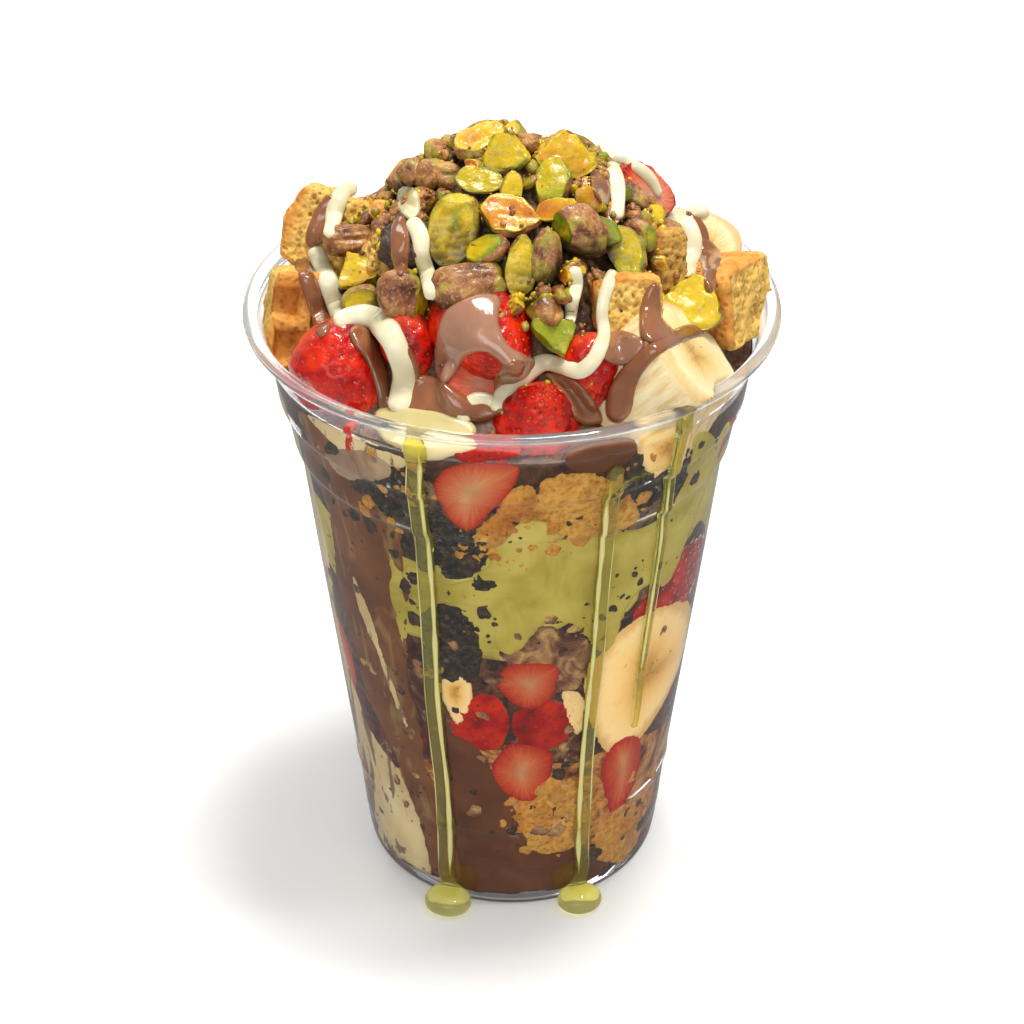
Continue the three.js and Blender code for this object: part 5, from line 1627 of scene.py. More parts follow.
wall_bits("biscuit_bits_at_wall", "biscuit", [
    (-14, 62, 68, 98, 110, 0.5, 1.9), (24, 40, 70, 84, 16, 0.8, 3.2), (12, 22, 66, 76, 8, 1.0, 3.0), (36, 52, 64, 84, 26, 1.0, 3.6), (-34, -6, 78, 100, 40, 1.2, 5.0),
    (-60, -24, 88, 106, 44, 1.0, 5.5), (-30, -6, 56, 78, 30, 1.0, 4.6), (24, 60, 96, 109, 34, 1.2, 5.0), (-26, 30, 14, 60, 34, 0.8, 3.4), (-76, -34, 5, 60, 44, 0.7, 3.0),
    (30, 80, 2.8, 20, 26, 1.0, 4.0), (85, 275, 8, 106, 190, 1.0, 5.0)], 1)
wall_bits("waffle_bits_at_wall", "waffle", [
    (-14, 8, 86, 100, 40, 1.0, 4.2), (4, 36, 90, 110, 30, 1.2, 4.4), (-48, -30, 90, 98, 16, 1.2, 5.0), (-4, 34, 11, 33, 44, 1.2, 5.6), (28, 66, 3, 26, 34, 1.2, 5.4),
    (-26, -6, 96, 104, 8, 1.0, 3.0), (-60, -20, 98, 110, 14, 1.0, 3.4), (85, 275, 8, 106, 150, 1.0, 5.0)], 2)
wall_bits("brownie_bits_at_wall", "brownie", [
    (-30, 30, 54, 76, 36, 1.2, 5.0), (-30, 30, 18, 56, 26, 1.2, 5.0), (40, 84, 56, 76, 18, 1.4, 5.0), (-76, -32, 6, 80, 34, 1.0, 4.0), (85, 275, 8, 106, 90, 1.0, 5.0)], 3)

# ------------------------------------------------------------------ the bed under the toppings
BED_RZ = np.array([[0, 150.5], [5, 149.6], [10, 146.4], [15, 143.0], [20, 139.0], [25, 133.0], [30, 125.5], [36, 118.0], [41, 113.0], [45, 110.6]])


def bed_mesh(around=260, rings=64):
    a = np.arange(around) / around * 360.0
    n3 = np.column_stack([np.cos(np.radians(a)) * 3.0, np.sin(np.radians(a)) * 3.0, np.full(around, 5.5)])
    rim_z = 111.0 + 1.6 * fbm(n3, 3, 90) + bump_at(a, -14, 26, 2.2) - bump_at(a, 60, 18, 1.5)
    v = []
    lows = np.array([0.0, 0.34, 0.68, 0.9])
    for t in lows:
        z = 101.0 + (rim_z - 101.0) * t
        v.append(on_wall(a, z, 0.03))
    reach = inner(rim_z) + 0.04
    for k in range(rings):
        s = 1 - k / rings
        r = reach * s
        z = np.interp(r, BED_RZ[:, 0], BED_RZ[:, 1]) + (rim_z - np.interp(reach, BED_RZ[:, 0], BED_RZ[:, 1])) * smoothstep(0.72, 1.0, s)
        v.append(np.stack([r * np.sin(np.radians(a)), -r * np.cos(np.radians(a)), z], -1))
    n = len(v)
    v = np.concatenate([*v, [[0, 0, 100.5], [0, 0, BED_RZ[0, 1]]]])
    i = np.arange(n * around).reshape(n, around)
    j = np.roll(i, -1, 1)
    q = np.stack([i[:-1], j[:-1], j[1:], i[1:]], -1).reshape(-1, 4)
    lo, hi = len(v) - 2, len(v) - 1
    t = np.concatenate([np.stack([np.full(around, lo), j[0], i[0]], -1), np.stack([np.full(around, hi), i[-1], j[-1]], -1)])
    up = (v[:, 2] > 109) & (np.hypot(v[:, 0], v[:, 1]) < 43.0)
    v[:, 2] -= np.where(up, 7.0 * smoothstep(2, 22, v[:, 1]) * smoothstep(43, 30, np.hypot(v[:, 0], v[:, 1])), 0)
    rough = 0.9 * fbm(v * 0.22, 3, 91) + 0.55 * fbm(v * 0.9, 3, 92) - 0.8 * smoothstep(0.4, 0.1, worley(v * 0.45, 93))
    v[:, 2] += np.where(up, rough, 0)
    made = Mesh(v, t, q)
    made.qm[: 4 * around] = 1
    return made


bed = bed_mesh()
TOP.add(bed)
emit("bed_under_toppings", bed, [MAT["bed"], AT_WALL["bed"]], "chocolate_bed")

# ------------------------------------------------------------------ fruit, waffle and biscuit on top
TOP_FOOD = [
    ("strawberry_top_left", "strawberry", dict(length=22, width=18.4, seed=1), (-28.2, -24.4, 117.2), (10, 24, -38)),
    ("strawberry_top_centre", "strawberry", dict(length=23, width=19, seed=2), (-3.8, -27.5, 127.0), (10, 8, -62)),
    ("strawberry_top_front", "strawberry", dict(length=18, width=16.5, seed=3), (4.6, -36.6, 116.6), (0, -62, -70)),
    ("strawberry_top_low", "strawberry", dict(length=13, width=11, cut=0.3, seed=4, pale=0.3), (-6, -32.6, 120.6), (50, 0, 14)),
    ("strawberry_top_right", "strawberry", dict(length=14, width=11, seed=5), (13.6, -32.2, 122.6), (0, 58, -80)),
    ("strawberry_top_glazed", "strawberry", dict(length=14.5, width=12, cut=0.4, seed=6, tone=0.9), (20.6, -25.6, 122.8), (30, 10, 10)),
    ("strawberry_top_behind", "strawberry", dict(length=14.5, width=13.4, cut=0.25, seed=7, pale=0.9), (23.8, 4.6, 137.4), (62, 20, 26)),
    ("strawberry_top_dark", "strawberry", dict(length=14.5, width=10, seed=8), (-17.6, -27.2, 123.6), (0, 62, -60)),
    ("banana_top_front", "banana", dict(radius=12.2, thick=19, seed=1), (25.6, -26.2, 116.6), (0, 38, 0, 64)),
    ("banana_top_behind", "banana", dict(radius=7.0, thick=7.0, seed=2), (34.6, 7.6, 124.6), (40, 24, 0)),
    ("waffle_top_left", "waffle", dict(w=17, h=15, thick=12, seed=1, crusts=((-1, 0, 0), (0, 0, -1), (-0.6, 0, 0.8))), (-32.4, 6, 129.6), (62, 18, -14)),
    ("waffle_top_side", "waffle", dict(w=17.5, h=12.5, thick=10, seed=2, tone=0.0, pockets=[(-4.8, 2.0, 5.4, 2.4), (3.0, 3.6, 4.6, 2.2), (2.0, -4.2, 5.6, 1.7)]),
     (-38.2, -7.5, 119.6), (0, 82, 14, -10)),
    ("waffle_top_right", "waffle", dict(w=19, h=15, thick=9.5, seed=3, crusts=((-1, 0, 0), (0, 1, 0), (0, 0, -1))), (39, -3, 120.8), (78, 12, 62)),
    ("waffle_top_centre", "waffle", dict(w=12, h=10.5, thick=10.5, seed=4, crusts=((0, 1, 0), (-1, 0, 0), (0, 0, -1))), (19.4, -20.8, 130), (68, 0, 12)),
    ("biscuit_top_left", "biscuit", dict(x=10, y=11, z=13, seed=5, tone=0.5), (-17.2, -13.6, 136.4), (0, 0, 0)),
    ("waffle_top_back", "waffle", dict(w=19, h=16, thick=12, seed=6), (-9, 26.5, 124.4), (24, 12, 20)),
    ("strawberry_top_back", "strawberry", dict(length=21, width=17, seed=9), (13.5, 28, 123.4), (-20, 12, 60)),
]


def make_food(kind, opts):
    if kind == "strawberry":
        return strawberry(**opts)
    if kind == "banana":
        return banana(**opts)
    if kind == "waffle":
        return waffle(cell=0.4, **opts)
    if kind == "biscuit":
        return lump(rough=0.2, pits=1.0, **opts)


def place_food(name, kind, opts, at, turn, node=None):
    m = make_food(kind, opts).moved(euler(*turn) if len(turn) == 3 else facing(*turn[1:]), at)
    # nothing on top reaches through the cup
    r = np.hypot(m.v[:, 0], m.v[:, 1])
    z = m.v[:, 2]
    limit = np.where(z < 119.6, np.where(z > 115.5, np.interp(z, [115.5, 117.3, 119.4], [inner(115.5) - 0.1, 45.4, 46.3]), inner(z) + 0.10), 99)
    over = (r > limit) & (z < 119.6)
    k = np.where(over, limit / np.maximum(r, 1e-6), 1)
    m.v[:, 0] *= k
    m.v[:, 1] *= k
    TOP.add(m)
    look, slot_name = FOODS[kind]
    return emit(name, m, look, node or ())


for name, kind, opts, at, turn in TOP_FOOD:
    place_food(name + "_seen", kind, opts, at, turn, name)

EXTRA = [
    ("waffle_small_right", "waffle", dict(w=7, h=11, thick=7, seed=11, tone=0.5, crusts=((-1, 0, 0),)), (26.5, -8.5, 132.0), (70, 10, 30)),
    ("waffle_small_left", "waffle", dict(w=7, h=8, thick=6, seed=12, crusts=((0, 0, -1),)), (-22.5, -9.5, 133.2), (60, 30, 10)),
    ("waffle_small_behind", "waffle", dict(w=12, h=10, thick=8, seed=13), (28, 22, 120.0), (30, 20, 40)),
    ("biscuit_small_back", "biscuit", dict(x=13, y=10, z=9, seed=14), (-27, 19, 124.0), (10, 20, 30)),
    ("banana_small_back", "banana", dict(radius=10, thick=8, seed=15), (-36, 14, 117), (50, -20, -60)),
    ("strawberry_small_back", "strawberry", dict(length=16, width=13, seed=16), (34, 24, 116.5), (20, 10, 150)),
    ("strawberry_middle_back", "strawberry", dict(length=17, width=13, cut=0.3, seed=17), (-22, 33, 116.5), (-60, 10, 20)),
    ("waffle_middle_back", "waffle", dict(w=16, h=12, thick=9, seed=18), (2, 37, 115.5), (-50, 10, 10)),
]
for name, kind, opts, at, turn in EXTRA:
    place_food(name, kind, opts, at, turn)

# ------------------------------------------------------------------ pistachios
NUTS = [
    # x, y, z of the near side, length, width, thickness, turn, hue, plum, cuts
    (-5.3, -1.6, 152.4, 10.5, 7.6, 6.5, 35, 0.64, 0.25, [((0.1, 0.6, 0.8), 0.4)]),
    (-1.2, -6.2, 152.0, 9.6, 7.8, 5.8, 8, 0.36, 0.3, [((0, 0.25, 1), 0.4), ((0.8, 0.5, 0.2), 0.75), ((-0.7, 0.6, 0.3), 0.8)]),
    (9.3, -4.3, 151.2, 12.0, 8.6, 6.2, -12, 0.60, 0.3, [((0, 0, 1), 0.3), ((0.6, 0.8, 0), 0.7), ((-0.7, 0.5, 0.2), 0.7)]),
    (-17.8, -3.0, 147.0, 5.2, 4.4, 4.2, 60, 0.5, 0.1, []),
    (-14.4, -4.0, 147.0, 6.4, 5.0, 4.6, 50, 0.5, 0.1, []),
    (-11.2, -4.8, 146.8, 5.8, 5.2, 4.6, 10, 0.5, 0.15, []),
    (7.0, -11.1, 149.2, 9.6, 6.4, 5.2, 75, 0.26, 0.1, [((0.3, 0, 1), 0.35), ((0.7, -0.7, 0.1), 0.8), ((-0.4, 0.9, 0.2), 0.8)]),
    (-5.4, -10.6, 149.0, 8.6, 5.0, 4.0, -8, 0.26, 0.2, [((0, 0.3, 1), 0.15)]),
    (0.0, -12.9, 148.6, 6.4, 3.8, 3.4, 80, 0.45, 0.2, [((0, 0, 1), 0.2)]),
    (13.4, -11.9, 145.9, 5.8, 4.0, 3.6, -40, 0.66, 0.2, [((0, 0, 1), 0.2)]),
    (7.8, -15.3, 146.0, 7.4, 4.0, 3.8, 15, 0.72, 0.2, [((0, 0.1, 1), 0.2)]),
    (-10.2, -17.6, 143.6, 14.4, 8.8, 6.6, 80, 0.42, 0.0, [((0.05, 0.12, 1), 0.42), ((0.9, 0.1, 0.35), 0.85)]),
    (-0.2, -17.7, 145.6, 10.8, 7.2, 5.8, -8, 0.78, 0.2, [((0, 0.1, 1), 0.4), ((0.7, 0.7, 0.1), 0.8), ((-0.8, -0.6, 0.1), 0.85)]),
    (12.0, -18.3, 142.8, 11.4, 8.2, 6.8, -35, 0.20, 0.6, [((-0.6, -0.6, 0.5), 0.85)]),
    (15.8, -16.5, 142.0, 6.8, 4.8, 4.2, -30, 0.0, 0.4, [((0, 0, 1), 0.2)]),
    (22.6, -13.1, 139.3, 7.6, 5.6, 5.0, -40, 0.1, 0.85, [((0.7, 0.5, 0.4), 0.7)]),
    (-4.1, -22.0, 141.6, 7.8, 5.4, 4.8, 15, 0.20, 0.45, [((-0.2, 0.5, 1), 0.35)]),
    (1.5, -24.7, 139.8, 10.8, 5.2, 4.8, 85, 0.42, 0.2, [((0, 0, 1), 0.25)]),
    (5.5, -23.1, 140.6, 10.6, 5.6, 5.0, 82, 0.2, 1.0, []),
    (20.2, -18.2, 138.4, 10.8, 6.2, 5.2, -72, 0.22, 0.2, [((0, 0.1, 1), 0.35)]),
    (-6.7, -26.3, 137.3, 15.2, 8.0, 7.2, 12, 0.40, 0.45, [((1, 0.2, 0.5), 0.8)]),
    (-26.1, -20.3, 129.9, 8.0, 6.4, 5.2, 10, 0.42, 0.5, [((0, -0.4, 1), 0.45)]),
]
NUT_NODES = [
    ("pistachio_left", (-28.6, -5.9, 134.9), 10.4, 5.6, 5.2, 8, 0.3, 0.15, []),
    ("pistachio_left_pale", (-27.3, -13.9, 133.2), 8.6, 7.6, 6.2, 40, 0.60, 0.1, [((0, 0, 1), 0.3), ((0.8, 0.5, 0), 0.6), ((-0.6, 0.8, 0), 0.6), ((-0.4, -0.9, 0), 0.7)]),
    ("pistachio_left_low", (-18.7, -24.6, 133.4), 11.2, 8.0, 6.6, -52, 0.42, 0.6, [((0.6, 0.5, 0.5), 0.7)]),
    ("pistachio_front_green", (7.4, -32.7, 130.8), 8.8, 7.2, 5.2, -55, 0.10, 0.1, [((0, 0.1, 1), 0.35), ((-0.8, 0.6, 0), 0.65), ((0.8, 0.5, 0.1), 0.7), ((0.2, -0.9, 0.2), 0.7)]),
    ("pistachio_right", (31.9, -17.0, 128.2), 12.2, 10.6, 7.6, -25, 0.46, 0.1, [((0, 0, 1), 0.35), ((0.7, 0.7, 0), 0.75), ((-0.8, 0.4, 0), 0.7), ((0.2, -1, 0), 0.8)]),
]
rng = np.random.default_rng(7)


def set_nut(at, length, width, thick, turn, hue, plum, cuts, seed):
    m = kernel(length, width, thick, seed, cuts, hue, plum, 5 if length > 8.5 else 4)
    tx, ty = rng.uniform(-14, 14, 2)
    return m.moved(facing(turn, tx, ty), np.asarray(at, float) + FWD * thick * 0.34)


big_nuts = []
for k, (x, y, z, *rest) in enumerate(NUTS):
    m = set_nut((x, y, z), *rest, 200 + k)
    big_nuts.append(m)
    TOP.add(m)
for k, (node, at, *rest) in enumerate(NUT_NODES):
    m = set_nut(at, *rest, 240 + k)
    big_nuts.append(m)
    TOP.add(m)

# chopped nuts are dropped onto what lies there already
GRID = 0.6
SPAN = 46.0
cells_n = int(2 * SPAN / GRID) + 1
axis_g = np.linspace(-SPAN, SPAN, cells_n)
height = np.full((cells_n, cells_n), 90.0)
for iy, gy in enumerate(axis_g):
    for ix, gx in enumerate(axis_g):
        if gx * gx + gy * gy < 44.0**2:
            hit, _ = TOP.down(gx, gy)
            if hit is not None:
                height[iy, ix] = hit[2]
guard = [(project(m.v.mean(0))[0], float((m.v.mean(0) - EYE) @ FWD), np.ptp(project(m.v), axis=0)) for m in big_nuts]


SKYLINE = np.array([(250, 330), (262, 262), (288, 200), (318, 188), (350, 186), (372, 196), (392, 192), (404, 158), (440, 150), (452, 128), (470, 112), (505, 116), (520, 132),
                    (545, 140), (575, 128), (598, 132), (604, 162), (640, 168), (664, 188), (690, 214), (720, 232), (752, 256), (776, 320)], float)
PILE = np.array([[0, 154.5], [10, 150.0], [20, 143.0], [27, 137.0], [30, 134.0], [34, 129.0], [38, 124.0], [44, 117.0]])


def above_the_pile(centre, half):
    """Whether something here would stand above the heap's skyline or surface."""
    px = project(centre)[0]
    if px[1] - half * 4.6 < np.interp(px[0], SKYLINE[:, 0], SKYLINE[:, 1]):
        return True
    return centre[2] + half > np.interp(math.hypot(centre[0], centre[1]), PILE[:, 0], PILE[:, 1]) + 0.8


def hides_a_nut(centre, size_px):
    px = project(centre)[0]
    dep = float((centre - EYE) @ FWD)
    for c, dd, span in guard:
        if dep < dd + 1.0 and abs(px[0] - c[0]) < span[0] * 0.42 + size_px * 0.3 and abs(px[1] - c[1]) < span[1] * 0.42 + size_px * 0.3:
            return True
    return False


def drop(x, y, radius, thick, sink=0.35):
    ix0, iy0 = (x + SPAN) / GRID, (y + SPAN) / GRID
    reach = int(radius / GRID) + 1
    xs = slice(max(0, int(ix0) - reach), int(ix0) + reach + 1)
    ys = slice(max(0, int(iy0) - reach), int(iy0) + reach + 1)
    gx, gy = np.meshgrid(axis_g[xs], axis_g[ys])
    dd = ((gx - x) ** 2 + (gy - y) ** 2) / radius**2
    inside = dd < 1
    if not inside.any():
        return None, None
    here = height[ys, xs]
    z = np.percentile(here[inside], 70) + thick * (0.5 - sink)
    top = z + thick / 2 * np.sqrt(np.maximum(1 - dd, 0))
    return z, (ys, xs, inside, top)


def settle_height(info):
    ys, xs, inside, top = info
    view = height[ys, xs]
    view[inside] = np.maximum(view[inside], top[inside])


chopped_big, chopped_small = [], []
placed = 0
for trial in range(4000):
    if placed >= 260:
        break
    ang = rng.uniform(0, 2 * math.pi)
    rad = 30.0 * math.sqrt(rng.random())
    if rad > 24 and rng.random() < 0.55:
        continue
    x, y = rad * math.sin(ang) - 1.0, -rad * math.cos(ang) - 1.5
    size = float(rng.choice([3.0, 3.8, 4.8, 6.0, 7.2, 8.4], p=[0.24, 0.24, 0.2, 0.16, 0.1, 0.06]))
    if placed < 60:
        size = float(rng.choice([6.0, 7.5, 9.0]))
    z, info = drop(x, y, size * 0.5, size * 0.7)
    if z is None or z < 105:
        continue
    centre = np.array([x, y, z])
    if above_the_pile(centre, size * 0.36) or hides_a_nut(centre, size * 5.3):
        continue
    settle_height(info)
    hue = float(np.clip(rng.choice([0.12, 0.3, 0.45, 0.6, 0.8]) + rng.uniform(-0.08, 0.08), 0, 1))
    plum = float(rng.choice([0.0, 0.15, 0.7]))
    whole = rng.random() < 0.3
    level = 4 if size >= 6.0 else 3
    if whole:
        m = kernel(size * 1.2, size * 0.75, size * 0.62, 300 + placed, [(rng.normal(size=3), 0.8)], hue, plum, level)
    else:
        m = chip(size, 300 + placed, hue, plum, 1.0, level)
    m = m.moved(euler(rng.uniform(-35, 35), rng.uniform(-35, 35), rng.uniform(0, 360)), centre)
    (chopped_big if size >= 6.0 else chopped_small).append(m)
    placed += 1
smooth_top = height.copy()
for _ in range(2):
    smooth_top = np.maximum.reduce([np.roll(smooth_top, (dy, dx), (0, 1)) for dy in (-1, 0, 1) for dx in (-1, 0, 1)])
for _ in range(3):
    smooth_top = sum(np.roll(smooth_top, (dy, dx), (0, 1)) for dy in (-1, 0, 1) for dx in (-1, 0, 1)) / 9.0


def shade_in_the_gaps(m):
    """Marks how deep each point lies between the nuts, for the painted shade there."""
    ix = np.clip(np.round((m.v[:, 0] + SPAN) / GRID).astype(int), 0, cells_n - 1)
    iy = np.clip(np.round((m.v[:, 1] + SPAN) / GRID).astype(int), 0, cells_n - 1)
    m.loc[:, 2] = smoothstep(1.4, 4.8, smooth_top[iy, ix] - m.v[:, 2])
    return m


for (node, *_), m in zip(NUT_NODES, big_nuts[len(NUTS) :]):
    emit(node + "_seen", m, MAT["pistachio"], node)
emit("pistachios_whole", shade_in_the_gaps(join(big_nuts[: len(NUTS)])), MAT["pistachio"])
nuts_all = shade_in_the_gaps(join(chopped_big + chopped_small))
TOP.add(nuts_all)
emit("pistachios_chopped", nuts_all, MAT["pistachio"], "pistachio_heap")

crumbs = []
for k in range(2400):
    ang = rng.uniform(0, 2 * math.pi)
    rad = 40.0 * math.sqrt(rng.random()) if k % 3 == 0 else 30.0 * math.sqrt(rng.random())
    if rad > 31 and rng.random() < 0.6:
        continue
    x, y = rad * math.sin(ang), -rad * math.cos(ang) - 1.0
    size = float(rng.choice([0.5, 0.8, 1.2, 1.8], p=[0.42, 0.32, 0.19, 0.07]))
    ix, iy = int(round((x + SPAN) / GRID)), int(round((y + SPAN) / GRID))
    z = height[iy, ix] + 0.12 * size
    spot = np.array([x, y, z])
    if z < 108 or above_the_pile(spot, size * 0.2) or (hides_a_nut(spot, size * 5) and rng.random() < 0.93):
        continue
    sv, st = ball(2 if size > 1.0 else 1)
    jag = 1 + 0.35 * (np.array([hash3(np.array([int(c[0] * 99)]), np.array([int(c[1] * 99)]), np.array([int(c[2] * 99)]), k)[0] for c in sv]) - 0.5)
    pts = sv * jag[:, None] * (size * 0.6, size * 0.45, size * 0.38)
    pts = pts @ euler(rng.uniform(0, 360), rng.uniform(0, 360), rng.uniform(0, 360)).T + (x, y, z)
    hue = float(rng.uniform(0.1, 0.6))
    cutv = float(rng.random() < 0.35)
    mask = np.tile((cutv, hue, float(rng.random() < 0.3)), (len(sv), 1))
    crumbs.append(Mesh(pts, st, mask=mask))
emit("pistachio_crumbs", join(crumbs), MAT["pistachio"])

# ------------------------------------------------------------------ sauces on top
COATS = [
    ("chocolate_coat_centre", CHOC, [(437, 332), (446, 310), (466, 298), (486, 293), (500, 298), (499, 322), (508, 344), (524, 354), (538, 360), (528, 372), (510, 376), (500, 362),
                                     (484, 352), (466, 357), (456, 374), (444, 384), (434, 368)], dict(tone=0.6)),
    ("chocolate_pool_front", CHOC, [(396, 388), (412, 376), (434, 376), (452, 386), (470, 397), (494, 399), (502, 412), (482, 422), (455, 420), (428, 416), (402, 412)], {}),
    ("chocolate_band_left", CHOC, [(349, 330), (361, 323), (374, 338), (384, 360), (390, 386), (391, 410), (379, 408), (374, 384), (365, 360), (352, 343)], {}),
    ("chocolate_band_left_inner", CHOC, [(386, 326), (398, 332), (412, 350), (422, 376), (416, 396), (404, 384), (396, 356)], {}),
    ("chocolate_swoosh_front", CHOC, [(544, 374), (562, 373), (582, 385), (597, 404), (603, 421), (591, 426), (575, 420), (569, 402), (557, 388)], {}),
    ("chocolate_arc_banana", CHOC, [(672, 330), (692, 324), (703, 334), (680, 344), (656, 358), (638, 382), (631, 412), (618, 424), (606, 416), (607, 394), (620, 370), (642, 348)], {}),
    ("chocolate_band_right", CHOC, [(699, 236), (712, 242), (722, 256), (717, 272), (716, 290), (705, 290), (702, 268), (697, 250)], {}),
    ("chocolate_between_right", CHOC, [(641, 302), (652, 283), (664, 292), (662, 316), (674, 332), (657, 344), (640, 336)], {}),
    ("chocolate_behind_heap", CHOC, [(590, 170), (602, 172), (611, 190), (608, 206), (598, 202), (591, 186)], {}),
    ("chocolate_over_waffle_left", CHOC, [(322, 200), (333, 194), (336, 212), (324, 238), (312, 249), (305, 238), (312, 216)], {}),
    ("chocolate_below_waffle_left", CHOC, [(295, 262), (308, 260), (318, 282), (327, 308), (331, 328), (320, 338), (311, 318), (303, 292)], {}),
    ("chocolate_between_centre", CHOC, [(497, 372), (512, 356), (536, 358), (548, 352), (556, 362), (536, 374), (520, 384), (504, 398), (494, 390)], {}),
    ("chocolate_over_banana_behind", CHOC, [(677, 213), (692, 212), (706, 226), (709, 242), (701, 245), (692, 232), (681, 223)], dict(thick=0.7, sag=0.2)),
    ("chocolate_under_heap_left", CHOC, [(392, 222), (404, 216), (410, 240), (408, 268), (398, 276), (390, 252)], {}),
    ("chocolate_right_of_centre", CHOC, [(598, 338), (620, 330), (644, 340), (640, 356), (622, 366), (602, 358)], dict(tone=0.3)),
]
for k, (name, look, outline, extra) in enumerate(COATS):
    m = sauce_patch(outline, seed=k, **extra)
    if m is not None:
        emit(name, m, look)

POOLS = [
    ("cream_pool_front", [(374, 414), (392, 405), (414, 407), (442, 411), (472, 422), (474, 438), (444, 450), (408, 449), (384, 438)], dict(thick=1.6, tone=0.9)),
    ("cream_blob_heap", [(398, 190), (410, 186), (420, 196), (419, 214), (408, 220), (398, 208)], dict(tone=0.5)),
]
for k, (name, outline, extra) in enumerate(POOLS):
    m = sauce_patch(outline, seed=40 + k, **extra)
    if m is not None:
        emit(name, m, CREAM)

RUNS = [
    ("cream_run_front", [(334, 324), (352, 316), (372, 317), (388, 332), (398, 352), (405, 376), (403, 396), (398, 414)], [16, 20, 20, 22]),
    ("cream_run_middle", [(496, 414), (504, 396), (519, 380), (542, 363), (562, 366), (579, 371), (592, 362), (600, 348), (604, 333), (602, 316), (604, 298), (610, 280), (614, 270)],
     [15, 17, 15, 12, 11, 10]),
    ("cream_run_loop", [(463, 424), (466, 408), (478, 400), (492, 404), (495, 416)], [12, 14, 12]),
    ("cream_run_left", [(314, 246), (320, 262), (329, 284), (336, 304), (341, 322)], [14, 16, 14]),
    ("cream_run_waffle", [(357, 187), (344, 192), (336, 206), (333, 222), (328, 238)], [12, 15, 10]),
    ("cream_run_heap_left", [(410, 218), (420, 236), (422, 256), (428, 276), (433, 300)], [14, 14, 12]),
    ("cream_run_heap_right", [(574, 266), (576, 284), (572, 302), (570, 324)], [12, 12, 9]),
    ("cream_run_right", [(668, 218), (682, 222), (690, 238), (690, 256), (686, 276)], [18, 20, 18]),
    ("cream_run_behind", [(610, 162), (616, 180), (618, 200), (616, 220)], [12, 13, 12]),
    ("cream_run_behind_right", [(612, 160), (632, 164), (650, 178), (660, 196)], [9, 10, 8]),
]
for k, (name, path, width) in enumerate(RUNS):
    m = drizzle(path, width, seed=k)
    if m is not None:
        emit(name, m, CREAM)


def run_from_above(path, width, seed=0, step=0.45):
    """A run of sauce along (x, y) points, laid on what is below it."""
    pts = open_curve(path, step)
    z = np.array([(TOP.down(x, y)[0] if TOP.down(x, y)[0] is not None else np.array([0, 0, np.nan]))[2] for x, y in pts])
    bad = np.isnan(z)
    idx = np.arange(len(pts))
    z[bad] = np.interp(idx[bad], idx[~bad], z[~bad])
    own = z.copy()
    k5 = np.array([1, 2, 3, 2, 1]) / 9.0
    for _ in range(7):
        z = np.maximum(np.convolve(np.pad(z, 2, mode="edge"), k5, mode="valid"), own - 0.4)
    for _ in range(3):
        z = np.convolve(np.pad(z, 2, mode="edge"), k5, mode="valid")
    r = np.full(len(pts), width / 2) * (1 + 0.12 * vnoise(np.column_stack([idx * 0.11, np.full(len(idx), seed), np.zeros(len(idx))]), seed))
    ends = np.minimum(idx, idx[::-1]) * step / (width / 2)
    r = r * np.maximum(quarter(ends, 1.0), 0.12)
    return tube(np.column_stack([pts, z + 0.25 * r]), r, 14, 0.85, (0, 0, 1))


BACK_RUNS = [
    ("chocolate_run_back_a", CHOC, "chocolate_sauce", [(-34, 24), (-26, 30), (-16, 33), (-6, 36), (2, 42)], 4.2),
    ("chocolate_run_back_b", CHOC, "chocolate_sauce", [(5, 43), (9, 38), (15, 34), (20, 32)], 3.8),
    ("cream_run_back_a", CREAM, "pale_cream", [(-37, 18), (-30, 23), (-24, 30), (-16, 32), (-12, 41)], 2.8),
    ("cream_run_back_b", CREAM, "pale_cream", [(20, 38), (22, 28), (16, 20), (24, 12), (36, 10)], 3.0),
    ("cream_run_back_c", CREAM, "pale_cream", [(-4, 42), (0, 32), (8, 26), (6, 18)], 2.8),
]
for k, (name, look, slot_name, path, width) in enumerate(BACK_RUNS):
    emit(name, run_from_above(path, width, k), look)

# ------------------------------------------------------------------ the cup and the runs of syrup outside it
emit("clear_cup_seen", make_cup(), [MAT["clear"], MAT["lip"]], "cup")


